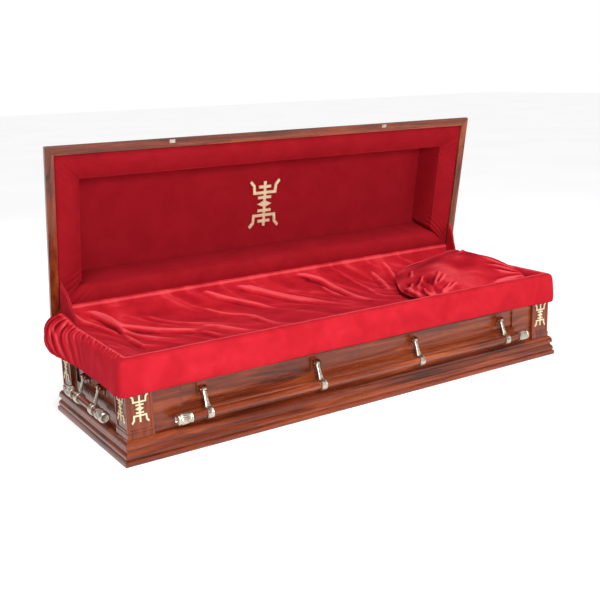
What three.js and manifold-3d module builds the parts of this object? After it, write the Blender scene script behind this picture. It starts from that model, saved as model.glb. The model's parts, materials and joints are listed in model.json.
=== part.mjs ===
// Funeral casket with its lid open: moulded base, panelled walls with carved corner posts,
// velvet bed, pillow and skirt, a deep lined lid on a long hinge, and four swing bar handles.
// Millimetres, +Z up, the foot end at -X, the front at -Y, the origin in the middle of the underside.

import * as THREE from 'three';
import { mergeVertices } from 'three/addons/utils/BufferGeometryUtils.js';
import Module from 'manifold-3d';

const wasm = await Module();
wasm.setup();

// Clearances
const gap = 0.3;            // between two pieces that touch
const runningGap = 0.6;     // between pieces that turn in each other

// Base
const baseLength = 2100;
const baseWidth = 700;
const baseHeight = 85;
const baseShoulder = 22;    // the top edge of the base stands this far inside its foot
const baseRailDepth = 70;   // how far the base rails reach in
const bottomThickness = 18;

// Walls
const postLedge = 3;        // base top left showing outside the posts
const postWidth = 100;
const postFootHeight = 20;
const postFootProud = 2.5;
const postFieldMargin = 10;
const postFieldDepth = 3;
const wallHeight = 279;     // from the base to the rim
const panelSetback = 12;    // panel face behind the post face
const panelThickness = 20;
const fieldRise = 75;       // sunk field above the base
const fieldHeight = 75;
const fieldDepth = 6;
const sideFieldMargin = 115;
const endFieldMargin = 40;
const beadWidth = 5;
const beadHeight = 1.5;
const cleatSize = 20;

// Bed
const bedRise = 130;        // underside of the bed board above the base
const bedThickness = 18;
const bedClearance = 2;
const mattressHeight = 92;
const mattressEdge = 74;
const mattressClearance = 4.5;
const mattressRound = 6;
const pillowLength = 600;
const pillowHeight = 104;
const pillowEdge = 26;
const pillowSideRoom = 12;
const pillowRound = 14;

// Skirt
const skirtThickness = 8;
const skirtProud = 15;      // outer face of the skirt outside the posts
const skirtDrop = 122;      // top of the skirt to its hem
const skirtInnerDrop = 72;
const skirtShoulder = 15;   // rounding of its outer top edge
const skirtRound = 6;       // rounding of its inner top edge

// Ornament
const postOrnamentWidth = 66;
const postOrnamentHeight = 106;
const postOrnamentRise = 106;   // its middle above the base
const postOrnamentRelief = 4;
const lidOrnamentWidth = 157;
const lidOrnamentHeight = 224;
const lidOrnamentRelief = 7;
const lidOrnamentReach = 321;   // its middle, from the hinge

// Lid
const lidSetback = 9;           // the lid is this much smaller than the base all round
const lidShift = 4;             // and lies this far back of its middle
const lidOpening = 80.5;        // degrees
const leafThickness = 1.5;
const knuckleRadius = 3;
const knuckleCount = 5;
const hingeEndMargin = 41;
const leafReach = 45;           // from the hinge line to the free edge of a leaf
const rimWidth = 35;
const railHeight = 105;
const railLean = 36;            // the side of the lid stands this far in where it meets the crown
const railTopWidth = 16;
const hingeChamfer = 6;
const crownBoard = 15;
const crownLedge = 6;           // rail top left showing outside the crown
const crownSlope = 84;          // width of the sloping sides of the crown
const crownRise = 65;
const liningDepth = 150;        // rim face to lining panel
const liningThickness = 5;
const rollWidth = 119;          // rim edge to the foot of the roll
const hingeRollWidth = 92;
const rollCrest = 29;           // rim face to the crest of a roll

// Cloth at the hinge
const apronThickness = 2;
const apronStart = 38;
const gussetThickness = 4;
const gussetOnLid = 155;
const gussetOnRim = 200;

// Handles
const barRadius = 14;
const barDrop = 78;             // bar below its pivots
const sideBarReach = 32;        // bar outside its pivots
const endBarReach = 24;
const pivotRise = 123;          // pivots above the base
const sideHandleHalf = 856;
const endHandleHalf = 185;
const sideArmSetback = 127;     // outermost arm to the end of the handle
const endArmSetback = 109;
const armTopWidth = 16;
const armThickness = 9;
const ringRadius = 22;
const ringWidth = 25;
const eyeRadius = 8;
const pinRadius = 4;
const cheekThickness = 5;
const earWidth = 38;
const earHeight = 56;
const earThickness = 4;
const capRadius = 21.8;
const capLength = 58;
const capBoreDepth = 34;
const barSides = 10;            // flats around a bar, ring or cap
const eyeSides = 8;

// Places that follow from the sizes above
const halfLength = baseLength / 2;
const halfWidth = baseWidth / 2;
const postInset = baseShoulder + postLedge;
const legThickness = panelSetback + panelThickness;
const wallInset = postInset + legThickness;          // inner faces of the walls
const wallBottom = baseHeight + gap;
const rimTop = baseHeight + wallHeight;
const skirtTop = rimTop + gap + skirtThickness;
const bedUnderside = baseHeight + bedRise;
const mattressBottom = bedUnderside + bedThickness + gap;
const mattressTop = mattressBottom + mattressHeight;
const mattressInset = wallInset + gap + skirtThickness + mattressClearance;
const lidLength = baseLength - 2 * lidSetback;
const lidWidth = baseWidth - 2 * lidSetback;
const hingeY = lidWidth / 2 + lidShift;
const hingeZ = skirtTop + gap + leafThickness + gap;
const rimFace = leafThickness + 2 * gap;             // rim face above the hinge line, lid shut
const pivotZ = baseHeight + pivotRise;
const sideArmOut = sideHandleHalf - sideArmSetback;
const sideArmPlaces = [-sideArmOut, -sideArmOut / 3, sideArmOut / 3, sideArmOut];
const endArmPlaces = [endArmSetback - endHandleHalf, endHandleHalf - endArmSetback];

const paint = (color, roughness, metalness) => new THREE.MeshStandardMaterial({ color, roughness, metalness });
const looks = {
  mahogany: () => paint(0x8a3318, 0.25, 0),
  board: () => paint(0xa9855f, 0.8, 0),
  velvet: () => paint(0xa5141f, 0.9, 0),
  castMetal: () => paint(0xb9ab95, 0.4, 0.9),
  hingeMetal: () => paint(0xc9c2b4, 0.3, 1),
  gilt: () => paint(0xd9bf86, 0.45, 0.5),
};

const casket = new THREE.Group();

// Geometry helpers

function closed(geometry) {
  geometry.deleteAttribute('normal');
  geometry.deleteAttribute('uv');
  const merged = mergeVertices(geometry, 1e-4);
  const p = merged.attributes.position;
  const corner = (i) => new THREE.Vector3().fromBufferAttribute(p, i);
  const index = merged.index.array;
  let kept = [];
  let volume = 0;
  for (let i = 0; i < index.length; i += 3) {
    const [a, b, c] = [index[i], index[i + 1], index[i + 2]];
    if (a === b || b === c || c === a) continue;
    kept.push(a, b, c);
    volume += corner(a).dot(corner(b).cross(corner(c)));
  }
  if (volume < 0) kept = kept.reverse();
  const result = new THREE.BufferGeometry();
  result.setAttribute('position', new THREE.BufferAttribute(new Float32Array(p.array), 3));
  result.setIndex(kept);
  return result;
}

function toSolid(geometry) {
  const body = closed(geometry);
  return new wasm.Manifold(new wasm.Mesh({
    numProp: 3,
    vertProperties: new Float32Array(body.attributes.position.array),
    triVerts: new Uint32Array(body.index.array),
  }));
}

function toGeometry(solid) {
  const mesh = solid.asOriginal().simplify(0.001).getMesh();
  const geometry = new THREE.BufferGeometry();
  geometry.setAttribute('position', new THREE.BufferAttribute(new Float32Array(mesh.vertProperties), 3));
  geometry.setIndex([...mesh.triVerts]);
  return geometry;
}

const joined = (first, ...others) => others.reduce((whole, each) => whole.add(each), first);

function block(x0, x1, y0, y1, z0, z1) {
  const box = new THREE.BoxGeometry(x1 - x0, y1 - y0, z1 - z0);
  return box.translate((x0 + x1) / 2, (y0 + y1) / 2, (z0 + z1) / 2);
}

const outline = (points) => new THREE.Shape(points.map(([x, y]) => new THREE.Vector2(x, y)));

// A shape drawn in the plane of Y and Z, made this long along X about its middle
function alongX(shape, length) {
  const geometry = new THREE.ExtrudeGeometry(shape, { depth: length, bevelEnabled: false, curveSegments: 4 });
  const turn = new THREE.Matrix4().makeBasis(
    new THREE.Vector3(0, 1, 0), new THREE.Vector3(0, 0, 1), new THREE.Vector3(1, 0, 0));
  return geometry.translate(0, 0, -length / 2).applyMatrix4(turn);
}

// A shape drawn in the plane of X and Z, raised from y = 0 towards -Y
function towardsFront(shape, height, bevel = 0) {
  const geometry = new THREE.ExtrudeGeometry(shape, {
    depth: height - 2 * bevel, bevelEnabled: bevel > 0, bevelThickness: bevel, bevelSize: bevel,
    bevelOffset: -bevel, bevelSegments: 1, curveSegments: 8,
  }).translate(0, 0, bevel);
  const turn = new THREE.Matrix4().makeBasis(
    new THREE.Vector3(1, 0, 0), new THREE.Vector3(0, 0, 1), new THREE.Vector3(0, -1, 0));
  return geometry.applyMatrix4(turn);
}

// A profile of [inset, height] points swept along one side of a rectangle. run is half that side,
// reach its distance from the middle; the ends are mitred, or cut square at leftEnd or rightEnd.
function rail(profile, run, reach, turn, { leftEnd, rightEnd } = {}) {
  const geometry = new THREE.ExtrudeGeometry(outline(profile), { depth: 1, bevelEnabled: false });
  const p = geometry.attributes.position;
  for (let i = 0; i < p.count; i++) {
    const [inset, height, atRight] = [p.getX(i), p.getY(i), p.getZ(i) > 0.5];
    const mitre = run - inset - gap;
    const x = atRight ? (rightEnd ?? mitre) : (leftEnd ?? -mitre);
    p.setXYZ(i, x, inset - reach, height);
  }
  return geometry.rotateZ(turn);
}

// A shell over a rectangle, closed at its first and last ring; rings are [inset, height]
function ringShell(rings, halfX, halfY) {
  const positions = [];
  const index = [];
  for (const [inset, height] of rings) {
    const [x, y] = [halfX - inset, halfY - inset];
    positions.push(-x, -y, height, x, -y, height, x, y, height, -x, y, height);
  }
  for (let ring = 0; ring + 1 < rings.length; ring++) {
    for (let side = 0; side < 4; side++) {
      const [a, b] = [ring * 4 + side, ring * 4 + (side + 1) % 4];
      index.push(a, b, b + 4, a, b + 4, a + 4);
    }
  }
  const last = positions.length / 3 - 4;
  index.push(0, 2, 1, 0, 3, 2, last, last + 1, last + 2, last, last + 2, last + 3);
  const geometry = new THREE.BufferGeometry();
  geometry.setAttribute('position', new THREE.BufferAttribute(new Float32Array(positions), 3));
  geometry.setAttribute('normal', new THREE.BufferAttribute(new Float32Array(positions.length), 3));
  geometry.setAttribute('uv', new THREE.BufferAttribute(new Float32Array(positions.length / 3 * 2), 2));
  geometry.setIndex(index);
  return closed(geometry);
}

// A stuffed pad: flat below, crowned above, with rounded sides
function pad(x0, x1, y0, y1, bottom, edge, crown, [nx, ny], roundness) {
  const geometry = new THREE.BoxGeometry(2, 2, 2, nx, ny, 2);
  const p = geometry.attributes.position;
  const midX = (x0 + x1) / 2;
  const midY = (y0 + y1) / 2;
  for (let i = 0; i < p.count; i++) {
    const [u, v, w] = [p.getX(i), p.getY(i), p.getZ(i)];
    const swell = (1 - u ** 4) * (1 - v ** 4);
    const height = edge + (crown - edge) * Math.sqrt(swell);
    const pull = roundness * w * w;
    p.setXYZ(i, midX + u * ((x1 - x0) / 2 - pull), midY + v * ((y1 - y0) / 2 - pull),
      bottom + height * (w + 1) / 2);
  }
  return geometry;
}

// The outline of a strip of cloth whose one face follows these points, the other lying to their right
function strip(points, thickness) {
  const face = points.map(([x, y]) => new THREE.Vector2(x, y));
  const across = (from, to) => to.clone().sub(from).normalize().rotateAround(new THREE.Vector2(), -Math.PI / 2);
  const other = face.map((point, i) => {
    const before = across(face[Math.max(i - 1, 0)], face[Math.max(i, 1)]);
    const after = across(face[Math.min(i, face.length - 2)], face[Math.min(i + 1, face.length - 1)]);
    const bisector = before.clone().add(after).normalize();
    return point.clone().addScaledVector(bisector, thickness / bisector.dot(before));
  });
  return new THREE.Shape([...face, ...other.reverse()]);
}

function lathe(profile, segments) {
  return new THREE.LatheGeometry(profile.map(([r, y]) => new THREE.Vector2(r, y)), segments);
}

const rodAlongX = (radius, length, segments) =>
  new THREE.CylinderGeometry(radius, radius, length, segments).rotateZ(Math.PI / 2);

// The radius of a many-sided hole whose flats clear a rod of this radius
const boreRadius = (radius, clearance, segments) => (radius + clearance) / Math.cos(Math.PI / segments);

function add(parent, name, geometry, look) {
  const mesh = new THREE.Mesh(closed(geometry), look());
  mesh.name = name;
  parent.add(mesh);
  return mesh;
}

const addSolid = (parent, name, solid, look) => add(parent, name, toGeometry(solid), look);

// Ornament: a spine, a lozenge, cross bars, and a flared bracket above and below.
// A cross bar is [half its length, its level], as shares of the width and the height.
const innerBars = [[0.22, 0.135], [0.22, -0.135]];
const allBars = [...innerBars, [0.2, 0.355], [0.2, -0.355]];

function ornament(width, height, relief, crossBars) {
  const stroke = 0.085 * width;
  const bar = (x, z0, z1) => outline([[-x, z0], [x, z0], [x, z1], [-x, z1]]);
  const bracket = (lean) => {
    const low = 0.235 * height;
    const right = [[0.38 * width, low - stroke / 2], [0.4 * width, 0.37 * height], [0.5 * width, 0.45 * height],
      [0.45 * width, 0.5 * height], [0.32 * width, 0.4 * height], [0.3 * width, low + stroke / 2]];
    const left = right.map(([x, z]) => [-x, z]).reverse();
    return outline([...right, ...left].map(([x, z]) => [x, lean * z]));
  };
  const lozenge = outline([[0, -0.075 * height], [0.24 * width, 0], [0, 0.075 * height], [-0.24 * width, 0]]);
  const shapes = [bar(stroke / 2, -0.46 * height, 0.47 * height), lozenge, bracket(1), bracket(-1)];
  for (const [reach, level] of crossBars) {
    shapes.push(bar(reach * width, level * height - stroke / 2, level * height + stroke / 2));
  }
  return joined(...shapes.map((shape) => toSolid(towardsFront(shape, relief))));
}

// Base: four mitred rails and the bottom board between them

const baseProfile = [
  [0, 0], [0, 0.165], [0.11, 0.2], [0.32, 0.22], [0.24, 0.29], [0.22, 0.35], [0.27, 0.42], [0.43, 0.48],
  [0.59, 0.52], [0.64, 0.59], [0.57, 0.65], [0.39, 0.68], [0.36, 0.72], [0.41, 0.81], [0.55, 0.9],
  [0.77, 0.965], [1, 1],
].map(([inset, height]) => [inset * baseShoulder, height * baseHeight]);
baseProfile.push([baseRailDepth, baseHeight], [baseRailDepth, 0]);

const sides = {
  front: { turn: 0, run: halfLength, reach: halfWidth },
  back: { turn: Math.PI, run: halfLength, reach: halfWidth },
  foot: { turn: -Math.PI / 2, run: halfWidth, reach: halfLength },
  head: { turn: Math.PI / 2, run: halfWidth, reach: halfLength },
};

for (const [side, { turn, run, reach }] of Object.entries(sides)) {
  add(casket, `base_rail_${side}`, rail(baseProfile, run, reach, turn), looks.mahogany);
}
const bottomInset = baseRailDepth + gap;
add(casket, 'bottom_board', block(bottomInset - halfLength, halfLength - bottomInset,
  bottomInset - halfWidth, halfWidth - bottomInset, 0, bottomThickness), looks.board);

// Corner posts, drawn with the outer corner at the origin and the legs along +X and +Y

function cornerPost() {
  const plan = outline([[0, 0], [postWidth, 0], [postWidth, legThickness], [legThickness, legThickness],
    [legThickness, postWidth], [0, postWidth]]);
  const height = rimTop - wallBottom;
  const shaft = new THREE.ExtrudeGeometry(plan, { depth: height, bevelEnabled: false });
  const foot = block(-postFootProud, postWidth, -postFootProud, postWidth, 0, postFootHeight);
  const inside = block(legThickness, 2 * postWidth, legThickness, 2 * postWidth, -1, height + 1);
  let post = joined(toSolid(shaft), toSolid(foot).subtract(toSolid(inside)));
  const fieldBottom = postFootHeight + postFieldMargin;
  const fieldTop = height - 3 * postFieldMargin;
  const field = block(postFieldMargin, postWidth - postFieldMargin, -1, postFieldDepth, fieldBottom, fieldTop);
  const carving = ornament(postOrnamentWidth, postOrnamentHeight, postOrnamentRelief + gap, innerBars)
    .translate([postWidth / 2, postFieldDepth + gap, postOrnamentRise]);
  const onOtherFace = (solid) => solid.rotate([0, 0, -90]).mirror([0, 1, 0]);
  post = post.subtract(toSolid(field)).subtract(onOtherFace(toSolid(field)));
  return joined(post, carving, onOtherFace(carving));
}

const postGeometry = toGeometry(cornerPost());
for (const [name, signX, signY] of [['front_foot', 1, 1], ['front_head', -1, 1], ['back_foot', 1, -1],
  ['back_head', -1, -1]]) {
  const post = add(casket, `corner_post_${name}`, postGeometry.clone().scale(signX, signY, 1), looks.mahogany);
  post.position.set(signX * (postInset - halfLength), signY * (postInset - halfWidth), wallBottom);
}

// Handle pieces, in a frame whose origin is the pivot line, outwards being -Y

function arm(reach) {
  const length = Math.hypot(reach, barDrop);
  const [top, ring] = [armTopWidth / 2, ringWidth / 2];
  const plate = outline([[-top, 0], [-0.8 * top, -0.35 * length], [-0.75 * ring, -0.72 * length],
    [-ring, -length], [ring, -length], [0.75 * ring, -0.72 * length], [0.8 * top, -0.35 * length], [top, 0]]);
  const pieces = [
    toSolid(towardsFront(plate, armThickness).translate(0, armThickness / 2, 0)),
    toSolid(rodAlongX(eyeRadius, armTopWidth, eyeSides)),
    toSolid(rodAlongX(ringRadius, ringWidth, barSides).translate(0, 0, -length)),
  ];
  const whole = joined(...pieces)
    .subtract(toSolid(rodAlongX(boreRadius(pinRadius, runningGap, eyeSides), 2 * ringWidth, eyeSides)))
    .subtract(toSolid(rodAlongX(boreRadius(barRadius, gap, barSides), 2 * ringWidth, barSides)
      .translate(0, 0, -length)));
  return toGeometry(whole).rotateX(-Math.atan2(reach, barDrop));
}

function cap() {
  const bore = boreRadius(barRadius, gap, barSides);
  const profile = [
    [0, capBoreDepth], [bore, capBoreDepth], [bore, 0], [0.97 * capRadius, 0.04 * capLength],
    [0.88 * capRadius, 0.2 * capLength], [capRadius, 0.6 * capLength], [0.92 * capRadius, 0.9 * capLength],
    [0.66 * capRadius, capLength], [0.45 * capRadius, 0.93 * capLength], [0, 0.91 * capLength]];
  return lathe(profile, barSides).rotateZ(-Math.PI / 2);
}

// The ear that carries an arm: a plate on the sunk field, two cheeks and the pin between them
function ear(x) {
  const wall = panelSetback + fieldDepth;
  const cheek = new THREE.Shape();
  const cheekRadius = eyeRadius + 1;
  cheek.moveTo(wall, -cheekRadius - 3).lineTo(wall, cheekRadius + 3).lineTo(0, cheekRadius);
  cheek.absarc(0, 0, cheekRadius, Math.PI / 2, 1.5 * Math.PI, false);
  const between = armTopWidth + 2 * runningGap;
  const plate = block(-earWidth / 2, earWidth / 2, wall - earThickness, wall + 1,
    -earHeight / 2, earHeight / 2);
  const cheeks = [-1, 1].map((side) =>
    toSolid(alongX(cheek, cheekThickness).translate(side * (between + cheekThickness) / 2, 0, 0)));
  const pin = toSolid(rodAlongX(pinRadius, between + cheekThickness, eyeSides));
  return joined(toSolid(plate), ...cheeks, pin).translate([x, 0, pivotZ]);
}

// A wall panel between two posts, with its sunk field, bead, ears and, on the long sides, a cleat.
// The post face is y = 0 and outwards is -Y.
function wallPanel(halfRun, fieldMargin, armPlaces, hasCleat) {
  const fieldHalf = halfRun - fieldMargin;
  const fieldBottom = baseHeight + fieldRise;
  const frame = (grow) => outline([
    [-fieldHalf - grow, fieldBottom - grow], [fieldHalf + grow, fieldBottom - grow],
    [fieldHalf + grow, fieldBottom + fieldHeight + grow], [-fieldHalf - grow, fieldBottom + fieldHeight + grow]]);
  const bead = frame(beadWidth);
  bead.holes.push(frame(0));
  const beadRing = towardsFront(bead, beadHeight + gap, beadHeight / 2).translate(0, panelSetback + gap, 0);
  let panel = toSolid(block(-halfRun, halfRun, panelSetback, legThickness, wallBottom, rimTop))
    .subtract(toSolid(block(-fieldHalf, fieldHalf, panelSetback - 1, panelSetback + fieldDepth,
      fieldBottom, fieldBottom + fieldHeight)));
  panel = joined(panel, toSolid(beadRing), ...armPlaces.map(ear));
  if (!hasCleat) return panel;
  const cleat = block(-halfRun, halfRun, legThickness - 1, legThickness + cleatSize,
    bedUnderside - gap - cleatSize, bedUnderside - gap);
  return panel.add(toSolid(cleat));
}

const armGeometry = { side: arm(sideBarReach), end: arm(endBarReach) };
const capGeometry = cap();

for (const [side, { turn, run, reach }] of Object.entries(sides)) {
  const long = side === 'front' || side === 'back';
  const wall = new THREE.Group();
  wall.rotation.z = turn;
  wall.position.set(0, postInset - reach, 0).applyAxisAngle(new THREE.Vector3(0, 0, 1), turn);
  casket.add(wall);

  const halfRun = run - postInset - postWidth - gap;
  const places = long ? sideArmPlaces : endArmPlaces;
  addSolid(wall, `wall_panel_${side}`,
    wallPanel(halfRun, long ? sideFieldMargin : endFieldMargin, places, long), looks.mahogany);

  const handle = new THREE.Group();
  handle.position.z = pivotZ;
  wall.add(handle);
  const handleHalf = long ? sideHandleHalf : endHandleHalf;
  const barReach = long ? sideBarReach : endBarReach;
  const barHalf = handleHalf - capLength + capBoreDepth - gap;
  add(handle, `handle_bar_${side}`, rodAlongX(barRadius, 2 * barHalf, barSides), looks.mahogany)
    .position.set(0, -barReach, -barDrop);
  places.forEach((x, i) => {
    add(handle, `handle_arm_${side}_${i + 1}`, armGeometry[long ? 'side' : 'end'].clone(), looks.castMetal)
      .position.x = x;
  });
  for (const [end, sign] of [['left', -1], ['right', 1]]) {
    const piece = add(handle, `handle_cap_${side}_${end}`, capGeometry.clone(), looks.castMetal);
    piece.position.set(sign * (handleHalf - capLength), -barReach, -barDrop);
    piece.rotation.z = sign < 0 ? Math.PI : 0;
  }
}

// Bed: board on the cleats, mattress and pillow

const bedInset = wallInset + bedClearance;
add(casket, 'bed_board', block(bedInset - halfLength, halfLength - bedInset, bedInset - halfWidth,
  halfWidth - bedInset, bedUnderside, bedUnderside + bedThickness), looks.board);
add(casket, 'mattress', pad(mattressInset - halfLength, halfLength - mattressInset,
  mattressInset - halfWidth, halfWidth - mattressInset, mattressBottom, mattressEdge, mattressHeight,
  [8, 4], mattressRound), looks.velvet);
const pillowHead = halfLength - mattressInset - pillowSideRoom;
add(casket, 'pillow', pad(pillowHead - pillowLength, pillowHead, mattressInset + pillowSideRoom - halfWidth,
  halfWidth - mattressInset - pillowSideRoom, mattressTop + gap, pillowEdge, pillowHeight,
  [8, 8], pillowRound), looks.velvet);

// Skirt: velvet laid over the rim, hanging outside the posts and inside the walls

const skirtOuter = postInset - skirtProud;
const skirtInner = wallInset + gap + skirtThickness;
const skirtUnderside = rimTop + gap;
const skirtHem = skirtTop - skirtDrop;
const skirtInnerHem = skirtTop - skirtInnerDrop;
const skirtProfile = [
  [skirtOuter, skirtHem], [skirtOuter - 2, skirtHem + 0.4 * skirtDrop], [skirtOuter, skirtTop - 0.2 * skirtDrop],
  [skirtOuter + skirtShoulder / 3, skirtTop - 0.08 * skirtDrop], [skirtOuter + skirtShoulder, skirtTop],
  [skirtInner - skirtRound, skirtTop], [skirtInner, skirtTop - skirtRound], [skirtInner, skirtInnerHem],
  [skirtInner - skirtThickness, skirtInnerHem], [skirtInner - skirtThickness, skirtUnderside],
  [postInset - gap, skirtUnderside], [skirtOuter + skirtThickness, skirtTop - 0.2 * skirtDrop],
  [skirtOuter + skirtThickness - 2, skirtHem + 0.4 * skirtDrop], [skirtOuter + skirtThickness, skirtHem]];
const skirtBack = halfWidth - postInset - gap;
const innerWallX = halfLength - wallInset;
const innerWallY = halfWidth - wallInset;
const backWallRoom = toSolid(block(-innerWallX - gap, innerWallX + gap, innerWallY - gap, baseWidth,
  0, skirtUnderside));
add(casket, 'skirt_front', rail(skirtProfile, halfLength, halfWidth, 0), looks.velvet);
for (const [end, cut] of [['foot', { leftEnd: -skirtBack }], ['head', { rightEnd: skirtBack }]]) {
  const cloth = toSolid(rail(skirtProfile, halfWidth, halfLength, sides[end].turn, cut));
  addSolid(casket, `skirt_${end}`, cloth.subtract(backWallRoom), looks.velvet);
}

// Hinge leaves, each a plate with every other knuckle. The hinge line is y = 0, z = 0 and the
// leaves reach forwards; the body leaf lies below the line and the lid leaf above it.

function hingeLeaf(first, below) {
  const hingeLength = lidLength - 2 * hingeEndMargin;
  const pitch = hingeLength / knuckleCount;
  const level = below ? [-gap / 2 - leafThickness, -gap / 2] : [gap / 2, gap / 2 + leafThickness];
  const knuckles = [];
  const notches = [];
  for (let i = 0; i < knuckleCount; i++) {
    const x = (i + 0.5) * pitch - hingeLength / 2;
    if (i % 2 === first) {
      knuckles.push(toSolid(rodAlongX(knuckleRadius, pitch - 2 * gap, eyeSides).translate(x, 0, 0)));
    } else {
      notches.push(toSolid(block(x - pitch / 2 - gap, x + pitch / 2 + gap, -knuckleRadius - runningGap, 1,
        -leafReach, leafReach)));
    }
  }
  const plate = toSolid(block(-hingeLength / 2, hingeLength / 2, -leafReach, 0, ...level));
  return joined(notches.reduce((rest, notch) => rest.subtract(notch), plate), ...knuckles);
}

addSolid(casket, 'hinge_leaf_body', hingeLeaf(0, true), looks.hingeMetal).position.set(0, hingeY, hingeZ);

// Lid, in a frame whose origin is the hinge line: shut it reaches towards -Y and rises along +Z

const lid = new THREE.Group();
lid.position.set(0, hingeY, hingeZ);
lid.rotation.x = -THREE.MathUtils.degToRad(lidOpening);
casket.add(lid);
const lidBody = new THREE.Group();
lidBody.position.set(0, -lidWidth / 2, rimFace);
lid.add(lidBody);
addSolid(lid, 'hinge_leaf_lid', hingeLeaf(1, false), looks.hingeMetal);

const lidSides = {
  front: { turn: 0, run: lidLength / 2, reach: lidWidth / 2 },
  back: { turn: Math.PI, run: lidLength / 2, reach: lidWidth / 2 },
  foot: { turn: -Math.PI / 2, run: lidWidth / 2, reach: lidLength / 2 },
  head: { turn: Math.PI / 2, run: lidWidth / 2, reach: lidLength / 2 },
};

const railFace = [[0, 0], [0, 0.15], [0.11, 0.19], [0.28, 0.23], [0.39, 0.32], [0.47, 0.46], [0.67, 0.59],
  [0.92, 0.7], [1, 0.8], [1, 1]];
const railSplay = 0.29 * railHeight;                 // the inner face is upright up to here
const railTopInside = railLean + railTopWidth;
const lidRail = [...railFace.map(([inset, height]) => [inset * railLean, height * railHeight]),
  [railTopInside, railHeight], [rimWidth, railSplay], [rimWidth, 0]];
const lidRailBack = [[hingeChamfer, 0], [0, hingeChamfer], ...lidRail.slice(1)];
for (const [side, { turn, run, reach }] of Object.entries(lidSides)) {
  const profile = side === 'back' ? lidRailBack : lidRail;
  add(lidBody, `lid_rail_${side}`, rail(profile, run, reach, turn), looks.mahogany);
}

const crownFoot = railHeight + gap;
const crownShape = [[0, 0], [0, 0.13], [0.04, 0.19], [0.1, 0.22], [0.38, 0.59], [0.72, 0.87], [1, 1]];
const crownStart = railLean + crownLedge;
const crownOuter = crownShape.map(([inset, height]) =>
  [crownStart + inset * crownSlope, crownFoot + height * crownRise]);
const crownInner = crownShape.slice(4).map(([inset, height]) =>
  [railTopInside + inset * (crownStart + crownSlope - railTopInside), crownFoot + height * crownRise - crownBoard]);
add(lidBody, 'lid_crown', ringShell([...crownOuter.reverse(), [railTopInside, crownFoot], ...crownInner],
  lidLength / 2, lidWidth / 2), looks.mahogany);

// Lining of the lid: a padded roll along each side, the panel behind and the ornament on it

function rollProfile(width) {
  const start = rimWidth + gap;
  const across = (share) => start + share * width;
  const face = [[0, 0.34], [0.12, 0.2], [0.33, 0.17], [0.54, 0.31], [0.7, 0.55], [0.81, 0.8], [0.845, 1]];
  const wall = [[0.89, 0.4], [0.95, 0.73], [1, 1], [0.95, 0.96], [0.55, 0.86]];
  return [...face.map(([share, depth]) => [across(share), depth * rollCrest]),
    ...wall.map(([share, depth]) => [across(share), depth * liningDepth]),
    [railTopInside + gap, railHeight], [start, railSplay]];
}

for (const [side, { turn, run, reach }] of Object.entries(lidSides)) {
  const width = side === 'back' ? hingeRollWidth : rollWidth;
  add(lidBody, `lid_roll_${side}`, rail(rollProfile(width), run, reach, turn), looks.velvet);
}

const panelInset = rimWidth + rollWidth + 2 * gap;
const panelHingeInset = rimWidth + hingeRollWidth + 2 * gap;
add(lidBody, 'lid_panel', block(panelInset - lidLength / 2, lidLength / 2 - panelInset,
  panelInset - lidWidth / 2, lidWidth / 2 - panelHingeInset, liningDepth, liningDepth + liningThickness),
looks.velvet);
const emblem = ornament(lidOrnamentWidth, lidOrnamentHeight, lidOrnamentRelief, allBars).rotate([90, 0, 0])
  .translate([0, lidWidth / 2 - lidOrnamentReach, liningDepth - gap]);
addSolid(lidBody, 'lid_emblem', emblem, looks.gilt);

// Cloth across the hinge, drawn where it lies with the lid open

const open = THREE.MathUtils.degToRad(lidOpening);
const lidPoint = (along, proud) => [
  hingeY - along * Math.cos(open) - (proud - rimFace) * Math.sin(open),
  hingeZ + along * Math.sin(open) - (proud - rimFace) * Math.cos(open),
];

const apronTop = skirtTop + leafThickness + 2 * gap + apronThickness;
const apronLine = [lidPoint(apronStart, rimFace + 2 * gap + apronThickness),
  lidPoint(0.5 * apronStart, rimFace + 3 * gap + 2 * apronThickness),
  [hingeY - leafReach / 2, apronTop + 2 * apronThickness], [innerWallY - apronThickness, apronTop],
  [innerWallY - 3 * apronThickness, skirtTop - 7 * apronThickness],
  [innerWallY - 4 * apronThickness, mattressTop - apronThickness]];
const apronLength = baseLength - 2 * mattressInset;
add(casket, 'hinge_apron', alongX(strip(apronLine, apronThickness), apronLength), looks.velvet);

const gussetFoot = [hingeY - leafReach - 2, skirtTop + leafThickness + 3 * gap];
const gusset = outline([gussetFoot, lidPoint(gussetOnLid, rimFace + gap),
  [hingeY - 0.6 * gussetOnRim, skirtTop + 0.5 * gussetOnLid], [hingeY - gussetOnRim, skirtTop + 2 * gap]]);
const gussetX = lidLength / 2 - hingeEndMargin + gap + gussetThickness / 2;
for (const [end, sign] of [['foot', -1], ['head', 1]]) {
  add(casket, `gusset_${end}`, alongX(gusset, gussetThickness).translate(sign * gussetX, 0, 0), looks.velvet);
}

export default casket;
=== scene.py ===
"""A funeral casket standing open: polished mahogany, crimson velvet and pale cast handles."""
import json
import math

import bmesh
import bpy
import numpy as np
from bpy.props import FloatProperty, FloatVectorProperty, IntProperty, PointerProperty
from mathutils import Matrix, Vector


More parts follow.
